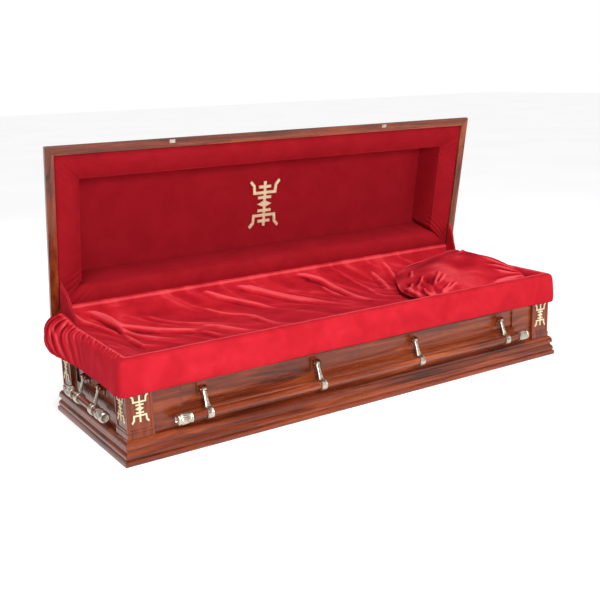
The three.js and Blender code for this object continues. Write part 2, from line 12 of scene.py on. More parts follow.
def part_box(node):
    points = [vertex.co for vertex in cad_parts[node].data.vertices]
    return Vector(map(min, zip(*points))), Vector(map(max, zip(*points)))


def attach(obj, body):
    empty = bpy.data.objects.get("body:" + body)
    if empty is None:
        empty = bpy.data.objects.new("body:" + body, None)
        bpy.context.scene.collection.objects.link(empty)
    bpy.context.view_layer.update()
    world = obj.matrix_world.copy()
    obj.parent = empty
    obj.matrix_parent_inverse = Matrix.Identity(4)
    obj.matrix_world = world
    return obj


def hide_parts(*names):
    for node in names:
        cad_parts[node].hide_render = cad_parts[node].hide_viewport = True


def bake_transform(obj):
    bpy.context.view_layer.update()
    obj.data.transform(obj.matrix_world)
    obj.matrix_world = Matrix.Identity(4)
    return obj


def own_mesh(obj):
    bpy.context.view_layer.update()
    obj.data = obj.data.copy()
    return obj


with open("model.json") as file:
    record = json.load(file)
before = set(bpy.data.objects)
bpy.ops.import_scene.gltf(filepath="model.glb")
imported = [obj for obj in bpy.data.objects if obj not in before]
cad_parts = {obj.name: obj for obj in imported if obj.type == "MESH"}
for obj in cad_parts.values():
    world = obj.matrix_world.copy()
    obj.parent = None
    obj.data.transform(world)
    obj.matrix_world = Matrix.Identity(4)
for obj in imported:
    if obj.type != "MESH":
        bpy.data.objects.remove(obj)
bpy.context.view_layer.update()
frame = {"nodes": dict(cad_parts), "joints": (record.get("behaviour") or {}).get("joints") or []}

bl_info = {
    "name": "Funeral Casket",
    "version": (1, 0, 0),
    "blender": (4, 5, 0),
    "location": "3D View > Sidebar > Casket",
    "description": "Makes the polished wood, the velvet and the cast handles of an open casket",
    "category": "Add Mesh",
}

MM = 0.001

# Places from the frame, in metres
JOINTS = {joint["name"]: joint for joint in frame["joints"]}
HINGE = Vector(JOINTS["lid_hinge"]["pos_m"])
LID_OPEN = math.radians(JOINTS["lid_hinge"]["range_deg"][1])
SIDES = ("front", "back", "foot", "head")
BASE_LOW, BASE_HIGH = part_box("base_rail_front")
BASE_LENGTH = BASE_HIGH.x - BASE_LOW.x
BASE_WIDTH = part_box("base_rail_back")[1].y - BASE_LOW.y
BED_LOW, BED_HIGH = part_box("mattress")
PILLOW_LOW, PILLOW_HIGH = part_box("pillow")

# Sizes repeated from the solids, in metres
GAP = 0.3 * MM
RIM_FACE = 2.1 * MM            # rim face of the lid above the hinge line, when it is shut
LID_LENGTH = 2082 * MM
LID_WIDTH = 682 * MM
LINING_DEPTH = 150 * MM
ROLL_WIDTH = 119 * MM
HINGE_ROLL_WIDTH = 92 * MM
RIM_WIDTH = 35 * MM
BAR_RADIUS = 14 * MM
BAR_DROP = 78 * MM
RING_RADIUS = 22 * MM
RING_WIDTH = 25 * MM
CAP_RADIUS = 21.8 * MM
CAP_LENGTH = 58 * MM
CAP_BORE_DEPTH = 34 * MM

# The lid's own frame: x along the hinge, -y from the hinge to the free edge, z into the lid
LID = Matrix.Translation(HINGE) @ Matrix.Rotation(-LID_OPEN, 4, "X") @ Matrix.Translation((0, 0, RIM_FACE))
LID_MIDDLE = LID @ Matrix.Translation((0, -LID_WIDTH / 2, 0))


class CasketColours(bpy.types.PropertyGroup):
    wood_dark: FloatVectorProperty(
        name="Dark grain", description="Colour of the dark lines in the mahogany", subtype="COLOR",
        size=3, min=0, max=1, default=(0.050, 0.008, 0.003))
    wood_middle: FloatVectorProperty(
        name="Wood", description="Middle colour of the mahogany", subtype="COLOR",
        size=3, min=0, max=1, default=(0.215, 0.034, 0.008))
    wood_light: FloatVectorProperty(
        name="Light grain", description="Colour of the light lines in the mahogany", subtype="COLOR",
        size=3, min=0, max=1, default=(0.400, 0.085, 0.022))
    velvet: FloatVectorProperty(
        name="Velvet", description="Colour of the velvet, seen along its pile", subtype="COLOR",
        size=3, min=0, max=1, default=(0.55, 0.018, 0.030))
    # Painted shade: this darker colour is painted into the folds and hollows of the velvet; it is also the
    # darker side of its random tone.
    velvet_deep: FloatVectorProperty(
        name="Deep velvet", description="Colour of the velvet in its folds", subtype="COLOR",
        size=3, min=0, max=1, default=(0.40, 0.010, 0.018))
    cast_metal: FloatVectorProperty(
        name="Cast metal", description="Colour of the handle castings", subtype="COLOR",
        size=3, min=0, max=1, default=(0.62, 0.56, 0.47))
    gilt: FloatVectorProperty(
        name="Gilt", description="Colour of the gilded ornament", subtype="COLOR",
        size=3, min=0, max=1, default=(0.86, 0.72, 0.47))


class CasketSizes(bpy.types.PropertyGroup):
    edge_rounding: FloatProperty(
        name="Edge rounding", description="Width of the rounding on the wooden edges", unit="LENGTH",
        min=0, max=0.003, default=0.0009)
    cloth_thickness: FloatProperty(
        name="Velvet thickness", description="Thickness of the velvet with its backing", unit="LENGTH",
        min=0.0005, max=0.004, default=0.0022)
    gather_pitch: FloatProperty(
        name="Gather pitch", description="Distance between the gathers at the foot end", unit="LENGTH",
        min=0.01, max=0.06, default=0.026)
    gather_depth: FloatProperty(
        name="Gather depth", description="Depth of the gathers at the foot end", unit="LENGTH",
        min=0, max=0.012, default=0.0095)
    fold_share: FloatProperty(
        name="Folds of the bed velvet", description="Height of the loose folds, 1 as they lie in the casket",
        min=0, max=1.5, default=1.0)
    cap_flutes: IntProperty(
        name="Cap flutes", description="Number of flutes round a handle cap", min=6, max=32, default=16)


# Shapes

def placed(points, matrix):
    """Points of a grid, moved by a matrix."""
    m = np.array(matrix)
    return points @ m[:3, :3].T + m[:3, 3]


def link(name, mesh):
    piece = bpy.data.objects.new(name, mesh)
    bpy.context.scene.collection.objects.link(piece)
    return piece


def mended(mesh):
    """The mesh with its doubles merged and its faces turned outwards."""
    shape = bmesh.new()
    shape.from_mesh(mesh)
    bmesh.ops.remove_doubles(shape, verts=shape.verts, dist=0.00001)
    bmesh.ops.recalc_face_normals(shape, faces=shape.faces)
    shape.to_mesh(mesh)
    shape.free()
    return mesh


def grid_faces(rows, columns, round_rows=False, round_columns=False):
    """Corners of the quads over a grid, closed round either way."""
    down, across = np.arange(rows - (not round_rows)), np.arange(columns - (not round_columns))
    r, c = np.meshgrid(down, across, indexing="ij")
    after_r, after_c = (r + 1) % rows, (c + 1) % columns
    corners = [r * columns + c, r * columns + after_c, after_r * columns + after_c, after_r * columns + c]
    return np.stack(corners, axis=-1).reshape(-1, 4).tolist()


def sheet_piece(name, points):
    """An open sheet of quads over a grid of points."""
    rows, columns = points.shape[:2]
    mesh = bpy.data.meshes.new(name)
    mesh.from_pydata(points.reshape(-1, 3).tolist(), [], grid_faces(rows, columns))
    mesh.shade_smooth()
    return link(name, mesh)


def bar_piece(name, points, sharp=0.6):
    """A closed bar over a grid of rings, with flat ends; edges sharper than this angle stay sharp."""
    rows, columns = points.shape[:2]
    ends = [list(range(columns))[::-1], list(range((rows - 1) * columns, rows * columns))]
    mesh = bpy.data.meshes.new(name)
    mesh.from_pydata(points.reshape(-1, 3).tolist(), [], grid_faces(rows, columns, round_columns=True) + ends)
    mended(mesh)
    mesh.shade_smooth()
    mesh.set_sharp_from_angle(angle=sharp)
    return link(name, mesh)


def smooth_line(points, count):
    """A smooth line through the points, with count points spaced evenly by the control points."""
    p = np.array(points, float)
    p = np.vstack([2 * p[0] - p[1], p, 2 * p[-1] - p[-2]])
    place = np.linspace(0, len(points) - 1, count)
    i = np.minimum(place.astype(int), len(points) - 2)
    t = (place - i)[:, None]
    a, b, c, d = p[i], p[i + 1], p[i + 2], p[i + 3]
    return 0.5 * (2 * b + (c - a) * t + (2 * a - 5 * b + 4 * c - d) * t**2 + (3 * b - a - 3 * c + d) * t**3)


def joined_line(*stretches):
    """One profile from smooth stretches, each a list of points; the corners between them stay sharp."""
    per_span = 5
    lines = [smooth_line(stretch, 1 + per_span * (len(stretch) - 1)) if len(stretch) > 2
             else np.array(stretch, float) for stretch in stretches]
    return np.vstack([lines[0]] + [line[1:] for line in lines[1:]])


def run_along(path):
    """Distance along a line of points, for each point."""
    return np.concatenate([[0], np.cumsum(np.linalg.norm(np.diff(path, axis=0), axis=1))])


def soft_noise(x, y, seed):
    """Smooth noise between -1 and 1 over a plane, the same on every run."""
    size = 64
    table = np.random.default_rng(seed).uniform(-1, 1, (size, size))
    x, y = np.broadcast_arrays(x, y)
    i, j = np.floor(x).astype(int), np.floor(y).astype(int)
    u, v = x - i, y - j
    u, v = u * u * (3 - 2 * u), v * v * (3 - 2 * v)
    low = table[i % size, j % size] * (1 - u) + table[(i + 1) % size, j % size] * u
    high = table[i % size, (j + 1) % size] * (1 - u) + table[(i + 1) % size, (j + 1) % size] * u
    return low * (1 - v) + high * v


def ease(low, high, x):
    """A smooth step from 0 at low to 1 at high."""
    t = np.clip((x - low) / (high - low), 0, 1)
    return t * t * (3 - 2 * t)


def set_fold_light(piece, values):
    """Keeps, for each vertex, the painted light and shade of the folds: 1 paints the crest of a fold with a
    highlight, -1 paints its hollow with shade.
    """
    layer = piece.data.attributes.new("fold_light", "FLOAT", "POINT")
    layer.data.foreach_set("value", np.clip(values, -1, 1).astype(np.float32).reshape(-1))


def crest_heights(x, y, crests):
    """Height added by folds: each has a height, a width and the points along its crest, in millimetres."""
    total = np.zeros(np.broadcast(x, y).shape)
    x, y = np.broadcast_arrays(x, y)
    for height, width, points in crests:
        line = smooth_line(np.array(points) * MM, 7 * len(points))
        nearest, place = np.full(total.shape, 9.0), np.zeros(total.shape)
        steps = np.diff(line, axis=0)
        for k, (point, way) in enumerate(zip(line, steps)):
            away_x, away_y = x - point[0], y - point[1]
            t = np.clip((away_x * way[0] + away_y * way[1]) / (way @ way), 0, 1)
            away_x, away_y = away_x - t * way[0], away_y - t * way[1]
            side = np.sign(way[0] * away_y - way[1] * away_x)
            far = side * np.hypot(away_x, away_y)
            closer = np.abs(far) < np.abs(nearest)
            nearest[closer], place[closer] = far[closer], ((k + t) / len(steps))[closer]
        across = nearest / (width * MM * (0.6 + 0.4 * place))
        taper = ease(0, 0.14, place) * ease(1, 0.62, place)
        total += height * MM * taper * (np.exp(-np.abs(across) ** 1.6) - 0.5 * np.exp(-(across + 1.9) ** 2))
    return total


def side_frames(length, width):
    """Turn, half run and reach of each side of a rectangle that a profile is swept along."""
    return {"front": (0, length / 2, width / 2), "back": (math.pi, length / 2, width / 2),
            "foot": (-math.pi / 2, width / 2, length / 2), "head": (math.pi / 2, width / 2, length / 2)}


def swept_side(profile, side, stations=2, push=None):
    """Rings of an [inset, height] profile along one side, mitred; push moves its points outwards."""
    turn, run, reach = side
    line = np.array(profile)
    share = np.linspace(-1, 1, stations)[:, None]
    inset, height = (np.repeat(line[None, :, k], stations, axis=0) for k in (0, 1))
    if push is not None:
        along = np.roll(line, -1, axis=0) - np.roll(line, 1, axis=0)
        along /= np.linalg.norm(along, axis=1)[:, None] + 1e-12
        amount = push(share * run, line)
        inset, height = inset + amount * along[:, 1], height - amount * along[:, 0]
    x, y = share * (run - inset - GAP), inset - reach
    cosine, sine = math.cos(turn), math.sin(turn)
    return np.stack([x * cosine - y * sine, x * sine + y * cosine, height], axis=-1)


def finished(piece, material, body, slot, *nodes):
    """Gives a piece its material and body, and hides the nodes that it stands for; slot is not used."""
    piece.data.materials.clear()
    piece.data.materials.append(material)
    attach(piece, body)
    if nodes:
        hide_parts(*nodes)
    return piece


def rounded(piece, width, segments=2, angle=0.5):
    """Rounds the edges of a hard piece."""
    bevel = piece.modifiers.new("Rounded edges", "BEVEL")
    bevel.width = width
    bevel.segments = segments
    bevel.limit_method = "ANGLE"
    bevel.angle_limit = angle
    bevel.harden_normals = True
    return piece


def thick(piece, thickness, offset=-1):
    """Gives a sheet its thickness."""
    wall = piece.modifiers.new("Thickness", "SOLIDIFY")
    wall.thickness = thickness
    wall.offset = offset
    wall.use_quality_normals = True
    return piece


def clean_copy(node, name):
    """A copy of a CAD solid, with its triangles merged into flat faces."""
    mesh = frame["nodes"][node].data.copy()
    mesh.name = name
    shape = bmesh.new()
    shape.from_mesh(mesh)
    bmesh.ops.remove_doubles(shape, verts=shape.verts, dist=0.00002)
    bmesh.ops.dissolve_limit(shape, angle_limit=0.01, verts=shape.verts, edges=shape.edges)
    shape.to_mesh(mesh)
    shape.free()
    mesh.shade_smooth()
    mesh.set_sharp_from_angle(angle=0.55)
    return link(name, mesh)


def united(first, *others):
    """The first piece joined with the others into one closed shape."""
    for other in others:
        cut = first.modifiers.new("Join", "BOOLEAN")
        cut.operation = "UNION"
        cut.solver = "EXACT"
        cut.object = other
    bpy.context.view_layer.update()
    graph = bpy.context.evaluated_depsgraph_get()
    mesh = bpy.data.meshes.new_from_object(first.evaluated_get(graph))
    first.modifiers.clear()
    old, first.data = first.data, mesh
    bpy.data.meshes.remove(old)
    for other in others:
        bpy.data.meshes.remove(other.data)
    return first


def box_piece(name, low, high):
    """A plain block between two corners, to be rounded or joined."""
    shape = bmesh.new()
    bmesh.ops.create_cube(shape, size=1)
    for vert in shape.verts:
        vert.co = Vector([low[k] + (vert.co[k] + 0.5) * (high[k] - low[k]) for k in range(3)])
    mesh = bpy.data.meshes.new(name)
    shape.to_mesh(mesh)
    shape.free()
    return link(name, mesh)


def lathe_rings(profile, segments, flutes=0, flute_depth=None):
    """Rings of a [along, radius] profile turned about X; flutes press the radius in."""
    line = np.array(profile)
    turn = np.linspace(0, 2 * math.pi, segments, endpoint=False)[None, :]
    radius = np.repeat(line[:, 1:2], segments, axis=1)
    if flutes:
        radius = radius - np.array(flute_depth)[:, None] * (0.5 - 0.5 * np.cos(flutes * turn)) ** 2
    along = np.repeat(line[:, 0:1], segments, axis=1)
    return np.stack([along, radius * np.cos(turn), radius * np.sin(turn)], axis=-1)


# Materials

class Finish:
    """A node material under construction."""

    def __init__(self, name):
        self.material = bpy.data.materials.new(name)
        self.material.use_nodes = True
        self.tree = self.material.node_tree
        self.shader = self.tree.nodes["Principled BSDF"]

    def node(self, kind, **values):
        made = self.tree.nodes.new(kind)
        for key, value in values.items():
            setattr(made, key, value)
        return made

    def join(self, source, target):
        self.tree.links.new(source, target)

    def place(self, scale=(1, 1, 1)):
        where = self.node("ShaderNodeTexCoord")
        mapping = self.node("ShaderNodeMapping")
        mapping.inputs["Scale"].default_value = scale
        self.join(where.outputs["Object"], mapping.inputs["Vector"])
        return mapping.outputs["Vector"]

    def noise(self, vector, scale, detail=4.0, roughness=0.55, distortion=0.0):
        made = self.node("ShaderNodeTexNoise")
        made.inputs["Scale"].default_value = scale
        made.inputs["Detail"].default_value = detail
        made.inputs["Roughness"].default_value = roughness
        made.inputs["Distortion"].default_value = distortion
        self.join(vector, made.inputs["Vector"])
        return made.outputs["Fac"]

    def ramp(self, factor, *stops):
        made = self.node("ShaderNodeValToRGB")
        ramp = made.color_ramp
        while len(ramp.elements) < len(stops):
            ramp.elements.new(0.5)
        for element, (place, colour) in zip(ramp.elements, stops):
            element.position = place
            element.color = (*colour, 1)
        self.join(factor, made.inputs["Fac"])
        return made.outputs["Color"]

    def span(self, factor, low, high):
        made = self.node("ShaderNodeMapRange")
        made.inputs["To Min"].default_value = low
        made.inputs["To Max"].default_value = high
        self.join(factor, made.inputs["Value"])
        return made.outputs["Result"]

    def paint(self, factor, *stops):
        """Colours the surface by a ramp."""
        self.join(self.ramp(factor, *stops), self.shader.inputs["Base Color"])

    def gloss(self, factor, low, high):
        """Lets the roughness vary between two values."""
        self.join(self.span(factor, low, high), self.shader.inputs["Roughness"])

    def multiply(self, first, second, share):
        made = self.node("ShaderNodeMix", data_type="RGBA", blend_type="MULTIPLY")
        made.inputs["Factor"].default_value = share
        self.join(first, made.inputs[6])
        self.join(second, made.inputs[7])
        return made.outputs[2]

    def bump(self, *layers):
        """Bump from layers of (height, strength, distance)."""
        normal = None
        for height, strength, distance in layers:
            made = self.node("ShaderNodeBump")
            made.inputs["Strength"].default_value = strength
            made.inputs["Distance"].default_value = distance
            self.join(height, made.inputs["Height"])
            if normal is not None:
                self.join(normal, made.inputs["Normal"])
            normal = made.outputs["Normal"]
        self.join(normal, self.shader.inputs["Normal"])

    def set(self, **values):
        for key, value in values.items():
            self.shader.inputs[key.replace("_", " ")].default_value = value


def mahogany(colours, axis):
    """Varnished mahogany whose grain runs along one axis."""
    finish = Finish(f"mahogany_{axis}")
    grain = [0.9 if name == axis else 13 for name in "xyz"]
    pores = [22 if name == axis else 420 for name in "xyz"]
    figure = finish.noise(finish.place(grain), 2.4, detail=7, roughness=0.62, distortion=0.9)
    colour = finish.ramp(figure, (0.30, colours.wood_dark), (0.50, colours.wood_middle),
                         (0.72, colours.wood_light))
    pore = finish.noise(finish.place(pores), 1.0, detail=3, roughness=0.7)
    pore_tone = finish.ramp(pore, (0.36, (0.42, 0.36, 0.34)), (0.50, (1, 1, 1)))
    cloud = finish.noise(finish.place(), 2.6, detail=2)
    cloud_tone = finish.ramp(cloud, (0.3, (0.72, 0.66, 0.64)), (0.7, (1, 1, 1)))
    colour = finish.multiply(finish.multiply(colour, pore_tone, 0.55), cloud_tone, 0.8)
    finish.join(colour, finish.shader.inputs["Base Color"])
    finish.gloss(cloud, 0.20, 0.36)
    finish.set(Coat_Weight=0.38, Coat_Roughness=0.08, Coat_IOR=1.42, Specular_IOR_Level=0.3)
    finish.bump((figure, 0.05, 0.0006), (pore, 0.06, 0.0002))
    return finish.material


def velvet(colours, name="crimson_velvet", depth=1.0, clouds=0.45):
    """Crimson velvet under the sheen of its pile, with painted light on its folds: a painted highlight on
    their crests and painted shade in their hollows.
    """
    finish = Finish(name)
    # depth below 1 darkens the whole velvet and its sheen: painted shade, for a shaded copy.
    body = [value * depth for value in colours.velvet]
    deep = [value * depth for value in colours.velvet_deep]
    # Painted light: hollow is painted shade for the hollows of the folds, deep is painted shade in the folds
    # and also the darker side of the random tone, and crest is a painted highlight for the crests.
    hollow = [0.45 * value for value in deep]
    crest = [min(1, 1.3 * value + 0.055 * depth) for value in body]
    # The attribute read here paints the light and shade of the folds into the colour; the brushed noise is
    # random tone.
    fold_light = finish.node("ShaderNodeAttribute", attribute_name="fold_light").outputs["Fac"]
    brushed = finish.noise(finish.place((1, 1.5, 1)), 9, detail=4, roughness=0.6, distortion=0.6)
    brushed = finish.span(brushed, 0.5 - 0.5 * clouds, 0.5 + 0.5 * clouds)
    pile = finish.noise(finish.place(), 900, detail=2, roughness=0.8)
    sum_of = finish.node("ShaderNodeMath", operation="MULTIPLY_ADD")
    sum_of.inputs[1].default_value = 0.42
    finish.join(fold_light, sum_of.inputs[0])
    finish.join(brushed, sum_of.inputs[2])
    colour = finish.ramp(sum_of.outputs[0], (0.12, hollow), (0.36, deep), (0.56, body), (0.90, crest))
    speck = finish.ramp(pile, (0.3, (0.72, 0.72, 0.72)), (0.6, (1, 1, 1)))
    finish.join(finish.multiply(colour, speck, 0.7), finish.shader.inputs["Base Color"])
    finish.gloss(brushed, 0.72, 0.9)
    finish.set(Sheen_Weight=0.32 * depth, Sheen_Roughness=0.30, Sheen_Tint=(1.0, 0.13, 0.20, 1))
    finish.set(Specular_IOR_Level=0.0)
    crushed = finish.noise(finish.place(), 46, detail=3, roughness=0.5)
    finish.bump((crushed, 0.14, 0.002), (pile, 0.2, 0.0005))
    return finish.material


def cast_metal(colours):
    """Pale cast metal, satin, with darker hollows in its skin."""
    finish = Finish("pale_cast_metal")
    cloud = finish.noise(finish.place(), 60, detail=4)
    grit = finish.noise(finish.place(), 700, detail=3, roughness=0.7)
    pale = tuple(colours.cast_metal)
    finish.paint(cloud, (0.3, [0.72 * value for value in pale]), (0.6, pale))
    finish.gloss(cloud, 0.24, 0.42)
    finish.set(Metallic=1.0)
    finish.bump((cloud, 0.08, 0.0008), (grit, 0.12, 0.0002))
    return finish.material


def gilt(colours):
    """Satin cream gold."""
    finish = Finish("cream_gilt")
    cloud = finish.noise(finish.place(), 90, detail=4)
    tone = tuple(colours.gilt)
    finish.paint(cloud, (0.3, [0.82 * value for value in tone]), (0.65, tone))
    finish.gloss(cloud, 0.34, 0.5)
    finish.set(Metallic=0.35)
    finish.bump((cloud, 0.1, 0.0006))
    return finish.material


def hinge_metal():
    """Nickelled hinge, lightly brushed along its length."""
    finish = Finish("nickelled_hinge")
    brushed = finish.noise(finish.place((4, 300, 300)), 1, detail=3)
    finish.paint(brushed, (0.3, (0.52, 0.5, 0.46)), (0.7, (0.72, 0.69, 0.64)))
    finish.gloss(brushed, 0.22, 0.4)
    finish.set(Metallic=1.0)
    finish.bump((brushed, 0.08, 0.0002))
    return finish.material


def plain_board():
    """Bare sanded board."""
    finish = Finish("sanded_board")
    grain = finish.noise(finish.place((1.2, 22, 22)), 2, detail=6, roughness=0.65, distortion=0.7)
    finish.paint(grain, (0.3, (0.27, 0.16, 0.08)), (0.7, (0.52, 0.37, 0.22)))
    finish.gloss(grain, 0.6, 0.8)
    finish.bump((grain, 0.15, 0.0006))
    return finish.material


def shared(name, make, *values):
    """A material that is made once."""
    return bpy.data.materials.get(name) or make(*values)


def wood(axis):
    return shared(f"mahogany_{axis}", mahogany, bpy.context.scene.casket_colours, axis)


def cloth():
    return shared("crimson_velvet", velvet, bpy.context.scene.casket_colours)


# Painted shade: the lid's rolls and panel get a darker, shaded copy of the crimson velvet (depth 0.62).
def shaded_lining_cloth():
    return shared("lining_velvet", velvet, bpy.context.scene.casket_colours, "lining_velvet", 0.62, 0.3)


def metal():
    return shared("pale_cast_metal", cast_metal, bpy.context.scene.casket_colours)


def gilding():
    return shared("cream_gilt", gilt, bpy.context.scene.casket_colours)


# Wood

def make_base(sizes):
    """Four mitred base mouldings and the bottom board."""
    line = joined_line(
        [(0, 0), (0, 13)], [(0, 13), (0.7, 15.8), (2.6, 17.2)], [(2.6, 17.2), (7, 18.7)],
        [(7, 18.7), (5.2, 24), (4.7, 29.8), (5.9, 35.7), (9.3, 40.8), (13, 44)],
        [(13, 44), (14.2, 47), (14.2, 50.5), (12.8, 53.6)], [(12.8, 53.6), (9.2, 54.6)],
        [(9.2, 54.6), (7.6, 57), (7.4, 60), (8.2, 62)],
        [(8.2, 62), (9, 68.9), (12.1, 76.5), (16.9, 82), (22, 85)],
        [(22, 85), (70, 85)], [(70, 85), (70, 0)]) * MM
    for name, side in side_frames(BASE_LENGTH, BASE_WIDTH).items():
        rail = bar_piece(f"base_moulding_{name}", swept_side(line, side), sharp=0.45)
        axis = "x" if name in ("front", "back") else "y"
        finished(rail, wood(axis), "casket", "mahogany", f"base_rail_{name}")
    for node in ("bottom_board", "bed_board"):
        board = rounded(clean_copy(node, f"{node}_sanded"), sizes.edge_rounding)
        finished(board, shared("sanded_board", plain_board), "casket", "plain_board", node)


def make_walls(sizes):
    """The wall panels and the corner posts, with their gilded ornament."""
    for side in SIDES:
        panel = rounded(clean_copy(f"wall_panel_{side}", f"wall_{side}_polished"), sizes.edge_rounding)
        axis = "x" if side in ("front", "back") else "y"
        finished(panel, wood(axis), "casket", "mahogany", f"wall_panel_{side}")
    for side in ("front", "back"):
        for end in ("foot", "head"):
            node = f"corner_post_{side}_{end}"
            post = rounded(clean_copy(node, f"post_{side}_{end}_polished"), sizes.edge_rounding, segments=1)
            finished(post, wood("z"), "casket", "mahogany", node)
            make_gilding(node, f"post_ornament_{side}_{end}")


def make_gilding(node, name):
    """Gilding over the two carved ornaments of a post: the raised faces, lifted and closed below."""
    low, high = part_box(node)
    middle = (low + high) / 2
    outer = Vector((low.x if middle.x < 0 else high.x, low.y if middle.y < 0 else high.y, 0))
    away = Vector((1 if middle.x < 0 else -1, 1 if middle.y < 0 else -1, 0))
    foot_proud, field_depth, lift = 2.5 * MM, 3 * MM, 0.35 * MM
    field_sides, field_ends = (14 * MM, 86 * MM), (45 * MM, 165 * MM)
    shape = bmesh.new()
    shape.from_mesh(frame["nodes"][node].data)
    bmesh.ops.remove_doubles(shape, verts=shape.verts, dist=0.00002)
    kept = []
    for face in shape.faces:
        corners = [vert.co for vert in face.verts]
        for across, along in ((1, 0), (0, 1)):
            depth = [(corner[across] - outer[across]) * away[across] - foot_proud for corner in corners]
            run = [(corner[along] - outer[along]) * away[along] - foot_proud for corner in corners]
            rise = [corner.z - BASE_HIGH.z for corner in corners]
            raised = max(depth) <= field_depth + 0.1 * MM and min(depth) < field_depth - 0.5 * MM
            between = min(run) > field_sides[0] and max(run) < field_sides[1]
            if raised and between and min(rise) > field_ends[0] and max(rise) < field_ends[1]:
                kept.append(face)
    dropped = [face for face in shape.faces if face not in set(kept)]
    bmesh.ops.delete(shape, geom=dropped, context="FACES")
    edges = [edge for edge in shape.edges if edge.is_boundary]
    bmesh.ops.holes_fill(shape, edges=edges, sides=0)
    bmesh.ops.dissolve_limit(shape, angle_limit=0.01, verts=shape.verts, edges=shape.edges)
    bmesh.ops.recalc_face_normals(shape, faces=shape.faces)
    shape.normal_update()
    moves = {vert: sum((face.normal for face in vert.link_faces), Vector()) for vert in shape.verts}
    for vert, move in moves.items():
        vert.co += Vector([math.copysign(lift, k) if abs(k) > 0.3 else 0 for k in move])
    mesh = bpy.data.meshes.new(name)
    shape.to_mesh(mesh)
    shape.free()
    mesh.shade_smooth()
    mesh.set_sharp_from_angle(angle=0.5)
    piece = rounded(link(name, mesh), 0.5 * MM)
    finished(piece, gilding(), "casket", "gilt")


def make_lid_wood(sizes):
    """The mitred lid rails and the hollow crown."""
    line = joined_line(
        [(0, 0), (0, 16)], [(0, 16), (0.8, 18.6), (4, 20)], [(4, 20), (10, 24)],
        [(10, 24), (12.4, 28), (14, 34), (17, 48)], [(17, 48), (24, 62), (32, 73), (36, 84)],
        [(36, 84), (36, 105)], [(36, 105), (52, 105)], [(52, 105), (35, 30.5)], [(35, 30.5), (35, 1.5)],
        [(35, 1.5), (34.4, 0.4), (33, 0)], [(33, 0), (0, 0)])[:-1] * MM
    chamfer = 6 * MM
    hinge_side = np.vstack([[(chamfer, 0), (0, chamfer)], line[1:]])
    for name, side in side_frames(LID_LENGTH, LID_WIDTH).items():
        points = swept_side(hinge_side if name == "back" else line, side)
        rail = bar_piece(f"lid_moulding_{name}", placed(points, LID_MIDDLE), sharp=0.45)
        rounded(rail, 0.6 * MM, segments=2, angle=1.0)
        axis = "x" if name in ("front", "back") else "z"
        finished(rail, wood(axis), "lid", "mahogany", f"lid_rail_{name}")
    crown = rounded(clean_copy("lid_crown", "lid_crown_polished"), 3 * MM, segments=3, angle=0.15)
    finished(crown, wood("x"), "lid", "mahogany", "lid_crown")
    emblem = rounded(clean_copy("lid_emblem", "lid_ornament"), 1.4 * MM, segments=3)
    finished(emblem, gilding(), "lid", "gilt", "lid_emblem")


# Velvet

def make_lining(sizes):
    """The four padded rolls of the lid and the panel behind them."""
    face = [(0.5, 14), (1.6, 9.5), (7, 6.0), (22, 4.0), (42, 4.3), (62, 8.2), (79, 14.3), (90, 20.2),
            (95, 23.8)]
    crest = [(95, 23.8), (97.5, 24.2), (100.2, 25.6), (101.2, 28.6), (100.2, 31.5)]
    wall = [(100.2, 31.5), (102.4, 40), (105.5, 62), (112, 109), (118.2, 148.5)]
    start = RIM_WIDTH + GAP
    back = [(start + 17.2 * MM, 104.5 * MM), (start + 0.2 * MM, 31 * MM)]
    for name, side in side_frames(LID_LENGTH, LID_WIDTH).items():
        width = HINGE_ROLL_WIDTH if name == "back" else ROLL_WIDTH
        line = joined_line(face, crest, wall, [wall[-1], (66, 129)]) * MM
        line[:, 0] = start + line[:, 0] * width / ROLL_WIDTH
        shown = len(line)
        line = np.vstack([line, back])
        seed = SIDES.index(name)

        def push(run, profile, reach=side[1], seed=seed, shown=shown):
            depth = profile[:, 1]
            loose = 0.3 + 0.7 * ease(0, 30 * MM, profile[:, 0] - RIM_WIDTH)
            soft = (np.arange(len(profile)) < shown) * (depth < 60 * MM) * loose
            to_mitre = reach - np.abs(run)
            wave = 1.5 * MM * soft_noise(run / 0.17, profile[:, 0] / 0.09, seed)
            wave = wave + 0.7 * MM * soft_noise(run / 0.05, profile[:, 0] / 0.05, seed + 10)
            pucker = 1.6 * MM * np.exp(-((to_mitre - 0.05) / 0.05) ** 2)
            pucker = pucker * np.sin((run + 0.4 * profile[:, 0]) / 0.006)
            return soft * (wave + pucker * ease(0, 0.03, to_mitre))

        stations = 240 if side[1] > 0.5 else 110
        points = swept_side(line, side, stations, push)
        roll = bar_piece(f"lid_padded_roll_{name}", placed(points, LID_MIDDLE), sharp=0.9)
        finished(roll, shaded_lining_cloth(), "lid", "velvet", f"lid_roll_{name}")

    low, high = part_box("lid_panel")
    under = 8 * MM                                  # the panel runs this far behind the rolls
    free_edge = LID_WIDTH - RIM_WIDTH - ROLL_WIDTH + under
    s = np.linspace(free_edge, RIM_WIDTH + HINGE_ROLL_WIDTH - under, 60)[:, None]
    x = np.linspace(low.x - under, high.x + under, 240)[None, :]
    depth = LINING_DEPTH + 1.2 * MM * (1 + soft_noise(x / 0.14, s / 0.14, 21)) / 2
    depth = depth + 0.5 * MM * soft_noise(x / 0.035, s / 0.035, 22)
    points = np.stack(np.broadcast_arrays(x, -s, depth), axis=-1)
    panel = sheet_piece("lid_velvet_panel", placed(points, LID))
    thick(panel, 3 * MM)
    panel.data.flip_normals()
    finished(panel, shaded_lining_cloth(), "lid", "velvet", "lid_panel")


